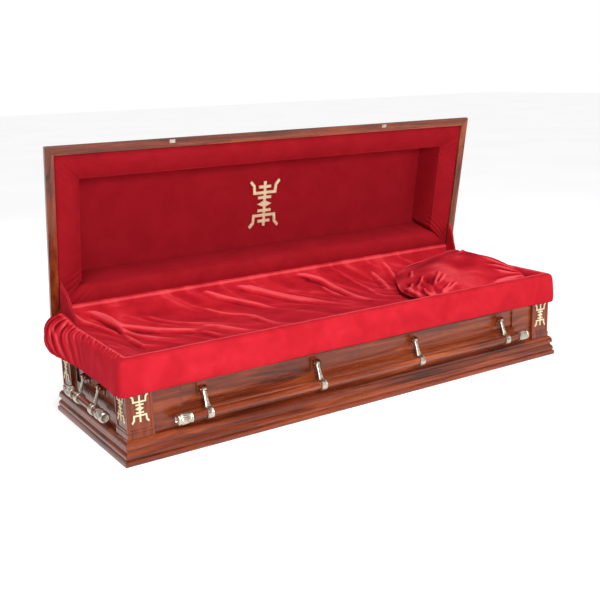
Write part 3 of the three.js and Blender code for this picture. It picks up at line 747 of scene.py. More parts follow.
def rim_path():
    """Stations round the rim from the back of the foot end to the back of the head end:
    the line that the corners turn about, the way outwards, and which side each station is on."""
    core = 70 * MM
    x, y = BASE_LENGTH / 2 - core, BASE_WIDTH / 2 - core
    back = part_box("skirt_foot")[1].y
    close = back - 60 * MM * (1 - np.cos(np.linspace(0, math.pi / 2, 18)))
    foot_y = np.concatenate([close, np.linspace(close[-1], -y, 150)[1:]])
    head_y = np.linspace(-y, back, 80)
    front_x = np.linspace(-x, x, 190)
    sharpness = 7
    stations = [(-x, value, -1, 0, 0) for value in foot_y]
    for start, centre_x, side in ((math.pi, -x, 1), (1.5 * math.pi, x, 3)):
        if side == 3:
            stations += [(value, -y, 0, -1, 2) for value in front_x]
        for turn in start + np.linspace(0, math.pi / 2, 16)[1:-1]:
            reach = (abs(math.cos(turn)) ** sharpness + abs(math.sin(turn)) ** sharpness) ** (-1 / sharpness)
            stations.append((centre_x, -y, reach * math.cos(turn), reach * math.sin(turn), side))
    stations += [(x, value, 1, 0, 4) for value in head_y]
    return np.array(stations), core


def make_skirt(sizes):
    """Velvet laid over the rim: inside the walls, over the top and down outside to a turned hem."""
    stations, core = rim_path()
    plain = [(62, 302), (61.8, 325), (61, 350), (58.5, 364), (52, 371.5), (42, 374), (31, 374), (21, 371.5),
             (13.5, 364), (10.5, 352), (9, 332), (8.5, 310), (8.5, 288), (9.5, 268), (11.5, 255), (15, 250.5),
             (19, 254), (19.5, 266)]
    pouch = [(62, 302), (61.8, 325), (61, 350), (58, 365), (50, 374), (36, 378), (18, 378), (-4, 373),
             (-24, 362), (-38, 347), (-44, 331), (-45, 314), (-43, 297), (-38, 282), (-32, 268), (-24, 259),
             (-14, 262), (-8, 270)]
    closed = [(62, 302), (61.8, 325), (61, 350), (58.5, 364), (52, 371.5), (42, 373), (34, 372), (28, 368),
              (23, 360), (21, 350), (20.5, 332), (20, 310), (20, 288), (20, 268), (20, 258), (20.5, 252),
              (21.5, 254), (21.5, 266)]
    count = 72
    v = np.linspace(0, 1, count)[None, :]
    line, pouch_line, closed_line = (smooth_line(np.array(p) * MM, count) for p in (plain, pouch, closed))
    y, side = stations[:, 1:2], stations[:, 4:5]
    at_foot = side == 0
    back, front = stations[0, 1], stations[0, 1] - 60 * MM
    to_back = ((y - front) / (back - front)).clip(0, 1)
    swell = at_foot * ease(0.04, front, y) * np.sqrt(np.clip(1 - to_back ** 2, 0, 1))
    end = at_foot * ease(front, back, y) * (1 - swell)
    section = line[None] + swell[:, :, None] * (pouch_line - line)[None]
    section = section + end[:, :, None] * (closed_line - line)[None]
    inset, height = section[..., 0], section[..., 1]

    run = run_along(stations[:, :2] + core * stations[:, 2:4])[:, None]
    down = ease(0.50, 0.85, v)                      # 0 on top of the rim, 1 at the hem
    for corner_side, reach in ((1, 13 * MM), (3, 6 * MM)):
        middle = run[side == corner_side].mean()
        inset = inset - reach * down * np.exp(-((run - middle) / 0.09) ** 2)
    low_foot = at_foot * ease(0.17, 0.0, y)
    height = height - 11 * MM * down * low_foot
    on_top = ease(0.16, 0.26, v) * ease(0.72, 0.46, v)
    height = height + 19 * MM * at_foot * ease(0.12, 0.29, y) * on_top
    height = height - 10 * MM * (side == 4) * ease(0.25, 0.318, y) * on_top
    wave = soft_noise(run / 0.33, v * 1.5, 3) + 0.5 * soft_noise(run / 0.12, v * 2.0, 4)
    inset = inset - 2.2 * MM * down * wave
    height = height + 2.5 * MM * ease(0.7, 0.85, v) * soft_noise(run / 0.21, v * 0, 5)

    over = ease(0.12, 0.22, v)                      # grows from the inner fall to the top
    slant = y + 0.055 * v * 3 + 0.012 * soft_noise(y / 0.06, v * 4, 6)
    phase = slant / sizes.gather_pitch + 0.6 * soft_noise(y / 0.045, v * 2.5, 7)
    ridge = (0.5 + 0.5 * np.cos(2 * math.pi * phase)) ** 2.2 - 0.3
    near_back = ease(-0.05, 0.25, y)
    fade = 1 - ease(0.30, 0.52 + 0.35 * near_back, v)
    strength = 0.65 + 0.35 * near_back + 0.35 * soft_noise(y / 0.09, v * 2, 8)
    gathers = at_foot * sizes.gather_depth * over * fade * strength * ridge
    broad = np.cos(2 * math.pi * (y + 0.10 * v) / 0.047 + 1.2 * soft_noise(y / 0.1, v * 3, 9))
    gathers = gathers + at_foot * 3.6 * MM * near_back * ease(0.25, 0.4, v) * ease(0.95, 0.7, v) * broad
    puckers = (side > 0) * 1.3 * MM * np.exp(-((v - 0.27) / 0.07) ** 2)
    puckers = puckers * soft_noise(run / 0.017, v * 3, 11) * (0.6 + 0.4 * soft_noise(run / 0.2, v, 12))
    along = np.gradient(np.stack([inset, height], axis=-1), axis=1)
    along /= np.linalg.norm(along, axis=-1, keepdims=True) + 1e-9
    amount = gathers + puckers
    inset, height = inset - amount * along[..., 1], height + amount * along[..., 0]

    x = stations[:, 0:1] + (core - inset) * stations[:, 2:3]
    y = stations[:, 1:2] + (core - inset) * stations[:, 3:4]
    skirt = sheet_piece("velvet_skirt", np.stack([x, y, height], axis=-1))
    skirt.data.flip_normals()
    # Painted light: the gathers and puckers get a painted highlight on their crests and painted shade in
    # their hollows, and edge paints a highlight in a band along the top of the rim.
    edge = np.exp(-((v - 0.31) / 0.03) ** 2)
    set_fold_light(skirt, 2.0 * amount / sizes.gather_depth + 1.1 * edge)
    thick(skirt, sizes.cloth_thickness)
    finished(skirt, cloth(), "casket", "velvet", "skirt_front", "skirt_foot", "skirt_head")
    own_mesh(skirt)


def mattress_top(x, y):
    """Height of the crowned top of the mattress."""
    u = (2 * x - BED_LOW.x - BED_HIGH.x) / (BED_HIGH.x - BED_LOW.x)
    v = (2 * y - BED_LOW.y - BED_HIGH.y) / (BED_HIGH.y - BED_LOW.y)
    swell = np.clip(1 - u**4, 0, 1) * np.clip(1 - v**4, 0, 1)
    return BED_HIGH.z - 18 * MM * (1 - np.sqrt(swell))


def make_mattress(sizes):
    """The mattress under the bed velvet, crowned and rounded."""
    around, squareness, height = 160, 14, 74 * MM
    middle_x, half_x = (BED_LOW.x + BED_HIGH.x) / 2, (BED_HIGH.x - BED_LOW.x) / 2
    middle_y, half_y = (BED_LOW.y + BED_HIGH.y) / 2, (BED_HIGH.y - BED_LOW.y) / 2
    shape = bmesh.new()
    rings = []
    for z_share, pull in ((0, 8), (0.03, 3), (0.1, 0), (0.72, 0), (0.84, 1.5), (0.93, 5), (1, 11)):
        points = []
        for turn in np.linspace(0, 2 * math.pi, around, endpoint=False):
            c, s = math.cos(turn), math.sin(turn)
            reach = (abs(c) ** squareness + abs(s) ** squareness) ** (-1 / squareness)
            points.append(shape.verts.new((middle_x + c * reach * (half_x - pull * MM),
                                           middle_y + s * reach * (half_y - pull * MM),
                                           BED_LOW.z + z_share * height)))
        rings.append(points)
    for lower, upper in zip(rings, rings[1:]):
        for k in range(around):
            after = (k + 1) % around
            shape.faces.new((lower[k], lower[after], upper[after], upper[k]))
    shape.faces.new(rings[0][::-1])
    crown = rings[-1]
    for share in (0.97, 0.9, 0.78, 0.6, 0.35):
        points = []
        for vert in rings[-1]:
            px, py = middle_x + (vert.co.x - middle_x) * share, middle_y + (vert.co.y - middle_y) * share
            points.append(shape.verts.new((px, py, float(mattress_top(np.array(px), np.array(py))) - 1 * MM)))
        for k in range(around):
            after = (k + 1) % around
            shape.faces.new((crown[k], crown[after], points[after], points[k]))
        crown = points
    shape.faces.new(crown)
    mesh = bpy.data.meshes.new("mattress_pad")
    shape.to_mesh(mesh)
    shape.free()
    mended(mesh).shade_smooth()
    pad = finished(link("mattress_pad", mesh), cloth(), "casket", "velvet", "mattress")


def simulated(piece, held, frames, rest, gravity, **settings):
    """Runs cloth on a piece whose held vertices stay, cut to the rest shape, and gives its last points."""
    scene = bpy.context.scene
    group = piece.vertex_groups.new(name="held")
    group.add([int(i) for i in held], 1, "REPLACE")
    piece.shape_key_add(name="Basis")
    key = piece.shape_key_add(name="Cut")
    key.data.foreach_set("co", rest.reshape(-1))
    key.value = 0
    modifier = piece.modifiers.new("Cloth", "CLOTH")
    modifier.settings.vertex_group_mass = "held"
    modifier.settings.rest_shape_key = piece.data.shape_keys.key_blocks["Cut"]
    modifier.settings.effector_weights.gravity = gravity
    for name, value in settings.items():
        setattr(modifier.settings, name, value)
    modifier.collision_settings.use_collision = False
    modifier.collision_settings.use_self_collision = False
    modifier.point_cache.frame_end = frames
    scene.frame_end = max(scene.frame_end, frames)
    for step in range(1, frames + 1):
        scene.frame_set(step)
    result = mesh_points(piece.evaluated_get(bpy.context.evaluated_depsgraph_get()).data)
    piece.modifiers.remove(modifier)
    piece.shape_key_clear()
    piece.vertex_groups.clear()
    scene.frame_set(1)
    return result


# Folds of the bed velvet, seen from above
BED_FOLDS = (
    (13, 15, ((-251, 324), (-175, 287), (-108, 233), (-27, 135), (22, 44), (74, -87))),
    (8, 11, ((-205, 322), (-140, 280), (-70, 215), (5, 125), (60, 20), (110, -90))),
    (14, 16, ((75, 335), (134, 305), (189, 262), (209, 151), (212, 0), (270, -170))),
    (9, 12, ((157, 241), (158, 156), (163, 88), (195, -2))),
    (11, 14, ((-402, 322), (-352, 290), (-270, 221), (-202, 137), (-161, 13))),
    (9, 13, ((-451, 232), (-403, 139), (-324, 45), (-306, -90), (-277, -190))),
    (9, 13, ((-551, 38), (-494, -31), (-453, -125), (-407, -173))),
    (8, 12, ((-587, -32), (-562, -100), (-546, -182))),
    (10, 14, ((473, 282), (452, 158), (368, -29))),
    (8, 12, ((573, 323), (576, 272), (550, 198), (500, 90))),
    (13, 15, ((-905, 305), (-858, 266), (-824, 196), (-771, 147), (-703, 71), (-623, 9), (-560, -29),
              (-539, -144))),
    (11, 15, ((-938, 325), (-855, 273), (-817, 113), (-798, 37), (-731, -47), (-640, -120))),
    (9, 12, ((-824, 196), (-841, 70), (-842, -64), (-826, -85), (-732, -158))),
    (8, 14, ((-968, 329), (-945, 273), (-891, 187), (-853, 102), (-848, -8))),
    (7, 10, ((-700, 250), (-640, 160), (-560, 80), (-470, 30))),
    (7, 11, ((300, 320), (330, 230), (335, 120), (310, 0), (330, -130))),
)
# Wrinkles of the pillow, seen from above
PILLOW_FOLDS = (
    (3.6, 8, ((562, 80), (520, 30), (474, -25))),
    (3.2, 8, ((515, -53), (453, -111), (399, -149))),
    (4.0, 8, ((586, -83), (518, -142), (457, -195))),
    (3.6, 7, ((584, -123), (536, -155), (483, -187))),
    (3.6, 7, ((551, -196), (499, -226), (455, -251))),
    (3.0, 7, ((587, -199), (533, -224), (491, -242))),
    (4.5, 9, ((428, 19), (367, -63), (341, -134))),
    (4.2, 9, ((385, -87), (366, -170), (357, -231))),
    (3.4, 8, ((442, -72), (392, -116), (354, -140))),
    (3.4, 8, ((420, -170), (400, -215), (405, -258))),
    (4.0, 9, ((962, -215), (927, -200), (882, -138), (852, -37))),
    (3.6, 9, ((962, -225), (913, -213), (860, -161), (803, -112))),
    (3.6, 9, ((962, -236), (904, -230), (857, -206), (811, -160))),
    (3.6, 9, ((962, -248), (898, -248), (810, -246), (726, -256))),
    (4.0, 10, ((965, 120), (910, 110), (850, 60), (790, 40))),
    (3.2, 9, ((640, 235), (660, 180), (700, 120))),
    (3.2, 9, ((880, 262), (860, 200), (850, 130))),
)
PILLOW_PLAN = (       # its outline as shares of the pillow's length and half width
    (1.0, 0), (1.0, 0.6), (0.98, 0.975), (0.82, 0.995), (0.62, 0.985), (0.437, 0.917), (0.295, 0.71),
    (0.178, 0.39), (0.066, 0.02), (-0.027, -0.354), (-0.053, -0.67), (-0.013, -0.90), (0.137, -0.99),
    (0.42, -1.0), (0.72, -1.0), (0.98, -0.975), (1.0, -0.56), (1.0, 0))


def make_bed_velvet(sizes):
    """One velvet sheet from the lid line down over the hinge and across the mattress, with loose folds."""
    climb = [(351, 423), (343, 421), (337, 417.5), (334.8, 411), (333.3, 403), (328, 394), (317, 387.5),
             (302, 382), (284, 371.5), (250, 356), (200, 342), (140, 333), (90, 329), (0, 328), (-90, 328),
             (-160, 329), (-215, 333), (-255, 339), (-284, 345)]
    path = smooth_line(np.array(climb) * MM, 400)
    run = run_along(path)
    even = np.linspace(0, run[-1], 132)
    row_y, row_z = (np.interp(even, run, path[:, k]) for k in (0, 1))
    slope_y, slope_z = np.gradient(row_y), np.gradient(row_z)
    size = np.hypot(slope_y, slope_z)
    normal_y, normal_z = slope_z / size, -slope_y / size
    half = BED_HIGH.x + 3.5 * MM
    x = np.linspace(-half, half, 350)[:, None]
    y, z = row_y[None, :], row_z[None, :]
    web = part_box("gusset_head")[0].x - 1.5 * MM
    x = x * (1 + (web / half - 1) * ease(0.314, 0.334, y))
    low_part = 1 - ease(0, 45 * MM, z - BED_HIGH.z)
    z = z + low_part * (24 * MM * ease(-0.845, -half, x) + 18 * MM * ease(0.88, half, x))
    on_cloth = ease(0, 40 * MM, even)[None, :]
    wander = 0.05 * soft_noise(x / 0.35, y / 0.3, 30)
    along, across = 0.615 * x - 0.788 * y, 0.788 * x + 0.615 * y + wander
    fine = (1 - np.abs(soft_noise(across / 0.045, along / 0.30, 31))) ** 4
    swell = soft_noise(x / 0.16, y / 0.12, 32)
    hem = np.exp(-((even[None, :] - 22 * MM) / (5 * MM)) ** 2)
    creases = sizes.fold_share * crest_heights(x, y, BED_FOLDS)
    lift = creases + 1.8 * MM * fine + 1.8 * MM * swell
    # Painted light: crests of the creases and fine wrinkles are painted paler and their hollows darker, and
    # the hem line gets a painted highlight.
    fold_light = np.sign(creases) * np.abs(creases / (8 * MM)) ** 1.5 + 0.6 * (fine - 0.45) + 1.2 * hem
    lift = np.where(y > 0.285, np.abs(lift), lift)
    lift = lift * on_cloth + 0.7 * MM * hem * soft_noise(x / 0.012, even[None, :] / 0.03, 34)
    y, z = y + lift * normal_y[None, :], z + lift * normal_z[None, :]
    points = np.stack(np.broadcast_arrays(x, y, z), axis=-1)
    sheet = sheet_piece("bed_velvet", points)
    if sheet.data.polygons[len(sheet.data.polygons) // 2].normal.z < 0:
        sheet.data.flip_normals()
    set_fold_light(sheet, np.broadcast_to(fold_light, points.shape[:2]))
    thick(sheet, 0.8 * sizes.cloth_thickness)
    sheet.data.materials.append(cloth())
    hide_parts("hinge_apron")
    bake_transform(sheet)


def pillow_rings():
    """The pillow before it is blown up: rings from the top of its dome out to its seam and back below."""
    low, high = PILLOW_LOW, PILLOW_HIGH
    plan = smooth_line(PILLOW_PLAN, 151)[:-1]
    shrink = 0.985
    outline = np.stack([low.x + plan[:, 0] * (high.x - low.x), plan[:, 1] * high.y * shrink], axis=-1)
    top = np.array([low.x + 0.753 * (high.x - low.x), 60 * MM])
    spoke = outline - top
    turn = np.arctan2(spoke[:, 1], spoke[:, 0])
    power = 2.0 - 0.85 * np.clip(-np.cos(turn), 0, 1) + 1.2 * np.clip(np.cos(turn), 0, 1)
    seam, crown = low.z + 19 * MM, high.z + 6 * MM
    rings = []
    for t in np.concatenate([np.linspace(0.02, 0.9, 44), np.linspace(0.92, 1, 8)]):
        rise = (1 - t ** power) ** 0.9
        rings.append(np.column_stack([top + t * spoke, seam + (crown - seam) * rise]))
    for t in np.concatenate([np.linspace(0.99, 0.9, 5), np.linspace(0.8, 0.02, 12)]):
        drop = np.full(len(spoke), (1 - t ** 3) ** 0.5)
        rings.append(np.column_stack([top + t * spoke, seam - (seam - low.z - 1 * MM) * drop]))
    return np.array(rings)


def evaluated(piece):
    """A new mesh of the piece with its modifiers, which are then removed."""
    graph = bpy.context.evaluated_depsgraph_get()
    mesh = bpy.data.meshes.new_from_object(piece.evaluated_get(graph))
    piece.modifiers.clear()
    piece.data = mesh
    return mesh


def mesh_points(mesh):
    coords = np.zeros(len(mesh.vertices) * 3)
    mesh.vertices.foreach_get("co", coords)
    return coords.reshape(-1, 3)


def make_pillow(sizes):
    """The wide pillow at the head end, blown up as cloth and wrinkled towards its corners."""
    low, high = PILLOW_LOW, PILLOW_HIGH
    pillow = bar_piece("pillow_velvet", pillow_rings())
    even = pillow.modifiers.new("Even skin", "REMESH")
    even.mode = "VOXEL"
    even.voxel_size = 6.5 * MM
    before = mesh_points(evaluated(pillow))
    held = np.nonzero(before[:, 2] < low.z + 9 * MM)[0]
    middle = (np.array(low) + np.array(high)) / 2
    cut = middle + (before - middle) * (1.05, 1.05, 1.03)
    after = simulated(pillow, held, 20, cut, gravity=0.0, quality=5, mass=0.3, use_pressure=True,
                      uniform_pressure_force=3.0, tension_stiffness=15, compression_stiffness=15,
                      shear_stiffness=6, bending_stiffness=0.4, air_damping=2)
    move = after - before
    cap = 8 * MM
    move *= np.minimum(1, cap / np.maximum(np.linalg.norm(move, axis=1, keepdims=True), 1e-9))
    after = before + move
    after[:, 2] = np.maximum(after[:, 2], low.z + 0.5 * MM)
    pillow.data.vertices.foreach_set("co", after.reshape(-1))
    fine = pillow.modifiers.new("Smooth", "SUBSURF")
    fine.levels = fine.render_levels = 1
    evaluated(pillow)
    p = mesh_points(pillow.data)
    x, y = p[:, 0], p[:, 1]
    upper = ease(low.z + 14 * MM, low.z + 34 * MM, p[:, 2])
    lift = 1.5 * crest_heights(x, y, PILLOW_FOLDS) + 2.2 * MM * soft_noise(x / 0.07, y / 0.08, 43)
    ruffle = ease(0.62, 0.40, x) * ease(0.02, -0.16, y)
    lift = lift + 3.0 * MM * ruffle * soft_noise((x - 0.5 * y) / 0.018, (y + 0.5 * x) / 0.05, 44)
    corner = ease(0.86, 0.96, x) * ease(-0.10, -0.22, y)
    lift = lift + 1.6 * MM * corner * soft_noise(x / 0.05, y / 0.011, 45)
    p[:, 2] += lift * upper
    pillow.data.vertices.foreach_set("co", p.reshape(-1))
    pillow.data.update()
    # Painted light: the crests of the wrinkles are painted paler and their hollows darker.
    set_fold_light(pillow, upper * lift / (3.5 * MM))
    pillow.data.shade_smooth()
    finished(pillow, cloth(), "casket", "velvet", "pillow")
    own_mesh(pillow)


def make_gussets(sizes):
    """Velvet webs between the rim and the lid at both ends of the hinge."""
    for name, sign in (("foot", -1), ("head", 1)):
        low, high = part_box(f"gusset_{name}")
        t = np.linspace(0.06, 1, 34)[:, None]
        u = np.linspace(0, 1, 36)[None, :]
        on_rim, sag = (0.194, 0.024) if name == "foot" else (0.085, 0.030)
        reach = (1 - u) * on_rim + u * 0.157 - sag * np.sin(math.pi * u) ** 0.9
        angle = u * LID_OPEN * 0.985 + 0.012
        radius = t * reach
        hem = 2.4 * MM * np.exp(-((t - 0.97) / 0.02) ** 2) + 1.6 * MM * np.exp(-((t - 0.88) / 0.025) ** 2)
        wave = 2.0 * MM * np.sin(3.2 * math.pi * u + 2 * t) * np.sin(math.pi * u) * t + hem
        x = (low.x + high.x) / 2 - sign * wave + 0 * radius
        y = HINGE.y - radius * np.cos(angle)
        z = HINGE.z + 1.6 * MM + radius * np.sin(angle)
        web = sheet_piece(f"gusset_velvet_{name}", np.stack([x, y, z], axis=-1))
        # Painted light: the hem folds get a painted highlight and the rest of the web is painted slightly
        # darker, as shade.
        set_fold_light(web, np.broadcast_to(hem / (1.4 * MM) - 0.35, x.shape))
        thick(web, sizes.cloth_thickness, offset=0)
        web.data.materials.append(cloth())
        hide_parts(f"gusset_{name}")
        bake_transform(web)


# Metal

def make_arm(reach, name):
    """A cast handle arm about its pivot: an eye, a blade with a hollow, and the ring round the bar."""
    length = math.hypot(reach, BAR_DROP)
    blade = smooth_line([(0, 8.0, 4.8), (0.12, 7.8, 4.4), (0.3, 7.6, 4.2), (0.5, 8.6, 4.6), (0.68, 10.6, 5.2),
                         (0.84, 12.2, 5.6), (0.94, 12.4, 5.4)], 46)
    turn = np.linspace(0, 2 * math.pi, 40, endpoint=False)
    c, s = np.cos(turn), np.sin(turn)
    rings = []
    for share, half_width, half_thick in blade:
        x = np.sign(c) * np.abs(c) ** 0.55 * half_width
        y = np.sign(s) * np.abs(s) ** 0.7 * half_thick
        hollow = ease(0.40, 0.50, share) * ease(0.86, 0.80, share)
        room = max(0.1, 0.74 * half_width * (share - 0.36) / 0.5)
        y = y + (y < 0) * 5.0 * hollow * ease(1.0, 0.72, np.abs(x) / room)
        rings.append(np.stack([x * MM, y * MM, np.full_like(x, -share * length)], axis=-1))
    plate = bar_piece(name, np.array(rings), sharp=0.7)
    half = RING_WIDTH / 2
    bore, rim = BAR_RADIUS + 0.4 * MM, RING_RADIUS
    flank = [(0, bore), (0, rim - 2.0 * MM), (0.8 * MM, rim - 0.8 * MM), (3 * MM, rim - 0.6 * MM),
             (4 * MM, rim - 1.2 * MM)]
    band = [(x - half, radius) for x, radius in flank] + [(0, rim)]
    band += [(half - x, radius) for x, radius in flank[::-1]]
    points = lathe_rings(band, 48)
    ring = bpy.data.meshes.new("ring")
    ring.from_pydata((points.reshape(-1, 3) - np.array([0, 0, length])).tolist(), [],
                     grid_faces(len(band), 48, round_rows=True, round_columns=True))
    ring = link("ring", mended(ring))
    eye_line = [(-8, 0.01), (-8, 6.6), (-7.2, 7.7), (7.2, 7.7), (8, 6.6), (8, 0.01)]
    eye = bar_piece("eye", lathe_rings(np.array(eye_line) * MM, 32))
    arm = united(plate, ring, eye)
    arm.data.transform(Matrix.Rotation(-math.atan2(reach, BAR_DROP), 4, "X"))
    arm.data.shade_smooth()
    arm.data.set_sharp_from_angle(angle=0.7)
    mesh = arm.data
    bpy.data.objects.remove(arm)
    return mesh


def make_cap(flutes):
    """A fluted cap for a bar's end, its mouth at the origin and its end along +X."""
    r, l = CAP_RADIUS, CAP_LENGTH
    bore = BAR_RADIUS + 0.4 * MM
    line = [(CAP_BORE_DEPTH, 0.002 * MM), (CAP_BORE_DEPTH, bore), (0, bore)]
    line += [(along * l, radius * r) for along, radius in (
        (0, 0.90), (0.01, 0.955), (0.045, 0.965), (0.075, 0.93), (0.10, 0.87), (0.14, 0.86), (0.2, 0.88),
        (0.4, 0.935), (0.6, 0.98), (0.72, 0.975), (0.78, 0.90), (0.81, 0.88), (0.84, 0.94), (0.88, 0.95),
        (0.93, 0.92), (0.97, 0.84), (0.995, 0.74), (1, 0.66), (0.99, 0.58), (0.95, 0.53), (0.90, 0.48),
        (0.885, 0.3))] + [(0.885 * l, 0.002 * MM)]
    depth = [0.10 * r if 0.15 * l < x < 0.76 * l and radius > 0.8 * r else 0 for x, radius in line]
    cap = bar_piece("cap", lathe_rings(line, 96, flutes, depth), sharp=0.75)
    mesh = cap.data
    bpy.data.objects.remove(cap)
    return mesh


def make_handles(sizes):
    """Swing bar handles on all four sides: wooden bars, cast arms and fluted caps."""
    cap_mesh = make_cap(sizes.cap_flutes)
    arms = {}
    for side, (turn, _, _) in side_frames(BASE_LENGTH, BASE_WIDTH).items():
        pivot = Vector(JOINTS[f"handle_{side}_swing"]["pos_m"])
        along = Matrix.Translation(pivot) @ Matrix.Rotation(turn, 4, "Z")
        body = f"handle_{side}"
        long = side in ("front", "back")
        low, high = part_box(f"handle_bar_{side}")
        bar_half = (high.x - low.x) / 2 if long else (high.y - low.y) / 2
        reach = abs((along.inverted() @ ((low + high) / 2)).y)
        line = [(-bar_half, 0.002 * MM), (-bar_half, 12.6 * MM), (-bar_half + 1.4 * MM, BAR_RADIUS)]
        line += [(x, BAR_RADIUS) for x in np.linspace(-bar_half, bar_half, 26)[1:-1]]
        line += [(-x, radius) for x, radius in line[2::-1]]
        points = lathe_rings(line, 48) + np.array([0, -reach, -BAR_DROP])
        bar = bar_piece(f"swing_bar_{side}", placed(points, along))
        finished(bar, wood("x" if long else "y"), body, "mahogany", f"handle_bar_{side}")
        if long not in arms:
            arms[long] = make_arm(reach, "arm")
        arm_nodes = sorted(n for n in frame["nodes"] if n.startswith(f"handle_arm_{side}_"))
        for node in arm_nodes:
            low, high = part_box(node)
            mesh = arms[long].copy()
            middle = along.inverted() @ ((low + high) / 2)
            mesh.transform(along @ Matrix.Translation((middle.x, 0, 0)))
            finished(link(node.replace("handle_arm", "cast_arm"), mesh), metal(), body, "cast_metal", node)
        for end, sign in (("left", -1), ("right", 1)):
            node = f"handle_cap_{side}_{end}"
            corners = [along.inverted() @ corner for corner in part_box(node)]
            mouth = min((corner.x for corner in corners), key=abs)
            mesh = cap_mesh.copy()
            turned = Matrix.Rotation(0 if sign > 0 else math.pi, 4, "Z")
            mesh.transform(along @ Matrix.Translation((mouth, -reach, -BAR_DROP)) @ turned)
            finished(link(f"cast_cap_{side}_{end}", mesh), metal(), body, "cast_metal", node)
        make_pins(side, along, arm_nodes)


def make_pins(side, along, arm_nodes):
    """The pins that the arms swing on, through the carved ears."""
    line = [(-15.6, 0.01), (-15.4, 2.8), (-14.6, 4.0), (-13.6, 4.2), (-13.6, 3.6)]
    line = line + [(-x, radius) for x, radius in line[::-1]]
    for number, node in enumerate(arm_nodes, 1):
        low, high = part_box(node)
        middle = (along.inverted() @ ((low + high) / 2)).x
        points = lathe_rings(np.array(line) * MM, 24) + np.array([middle, 0, 0])
        pin = bar_piece(f"handle_pin_{side}_{number}", placed(points, along))
        finished(pin, metal(), "casket", "cast_metal")


def screw_tree():
    """Geometry nodes that set a countersunk screw head on every point, its axis along the point's normal."""
    tree = bpy.data.node_groups.new("Screw heads", "GeometryNodeTree")
    face = tree.interface
    face.new_socket("Geometry", in_out="INPUT", socket_type="NodeSocketGeometry")
    radius = face.new_socket("Head radius", in_out="INPUT", socket_type="NodeSocketFloat")
    height = face.new_socket("Head height", in_out="INPUT", socket_type="NodeSocketFloat")
    surface = face.new_socket("Material", in_out="INPUT", socket_type="NodeSocketMaterial")
    face.new_socket("Geometry", in_out="OUTPUT", socket_type="NodeSocketGeometry")
    nodes, links = tree.nodes, tree.links
    given, result = nodes.new("NodeGroupInput"), nodes.new("NodeGroupOutput")
    head = nodes.new("GeometryNodeMeshCone")
    head.inputs["Vertices"].default_value = 20
    slot = nodes.new("GeometryNodeMeshCube")
    narrower = nodes.new("ShaderNodeMath")
    narrower.operation = "MULTIPLY"
    narrower.inputs[1].default_value = 0.72
    size = nodes.new("ShaderNodeCombineXYZ")
    across = nodes.new("ShaderNodeMath")
    across.operation = "MULTIPLY"
    across.inputs[1].default_value = 0.3
    long = nodes.new("ShaderNodeMath")
    long.operation = "MULTIPLY"
    long.inputs[1].default_value = 3.0
    cut = nodes.new("GeometryNodeMeshBoolean")
    cut.operation = "DIFFERENCE"
    lifted = nodes.new("GeometryNodeTransform")
    up = nodes.new("ShaderNodeCombineXYZ")
    normal = nodes.new("GeometryNodeInputNormal")
    align = nodes.new("FunctionNodeAlignRotationToVector")
    align.axis = "Z"
    instance = nodes.new("GeometryNodeInstanceOnPoints")
    real = nodes.new("GeometryNodeRealizeInstances")
    paint = nodes.new("GeometryNodeSetMaterial")
    links.new(given.outputs["Head radius"], head.inputs["Radius Bottom"])
    links.new(given.outputs["Head radius"], narrower.inputs[0])
    links.new(narrower.outputs[0], head.inputs["Radius Top"])
    links.new(given.outputs["Head height"], head.inputs["Depth"])
    links.new(given.outputs["Head radius"], across.inputs[0])
    links.new(given.outputs["Head radius"], long.inputs[0])
    links.new(across.outputs[0], size.inputs["X"])
    links.new(long.outputs[0], size.inputs["Y"])
    links.new(given.outputs["Head height"], size.inputs["Z"])
    links.new(size.outputs[0], slot.inputs["Size"])
    links.new(given.outputs["Head height"], up.inputs["Z"])
    links.new(slot.outputs["Mesh"], lifted.inputs["Geometry"])
    links.new(up.outputs[0], lifted.inputs["Translation"])
    links.new(head.outputs["Mesh"], cut.inputs["Mesh 1"])
    links.new(lifted.outputs["Geometry"], cut.inputs["Mesh 2"])
    links.new(normal.outputs[0], align.inputs["Vector"])
    links.new(given.outputs["Geometry"], instance.inputs["Points"])
    links.new(cut.outputs["Mesh"], instance.inputs["Instance"])
    links.new(align.outputs[0], instance.inputs["Rotation"])
    links.new(instance.outputs[0], real.inputs[0])
    links.new(real.outputs[0], paint.inputs["Geometry"])
    links.new(given.outputs["Material"], paint.inputs["Material"])
    links.new(paint.outputs[0], result.inputs[0])
    return tree, radius.identifier, height.identifier, surface.identifier


def make_screws(name, places, normal, radius, material, body, slot):
    """Screw heads at the places, as one plain mesh."""
    shape = bmesh.new()
    side = Vector(normal).orthogonal().normalized() * 0.05 * MM
    other = Vector(normal).normalized().cross(side)
    for place in places:
        corners = [shape.verts.new(Vector(place) + side * a + other * b) for a, b in ((0, 0), (1, 0), (0, 1))]
        shape.faces.new(corners)
    mesh = bpy.data.meshes.new(name)
    shape.to_mesh(mesh)
    shape.free()
    carrier = link(name, mesh)
    tree, radius_id, height_id, material_id = screw_tree()
    modifier = carrier.modifiers.new("Screw heads", "NODES")
    modifier.node_group = tree
    modifier[radius_id], modifier[height_id], modifier[material_id] = radius, 0.5 * radius, material
    graph = bpy.context.evaluated_depsgraph_get()
    result = bpy.data.meshes.new_from_object(carrier.evaluated_get(graph))
    carrier.modifiers.remove(modifier)
    carrier.data = mended(result)
    return finished(carrier, material, body, slot)


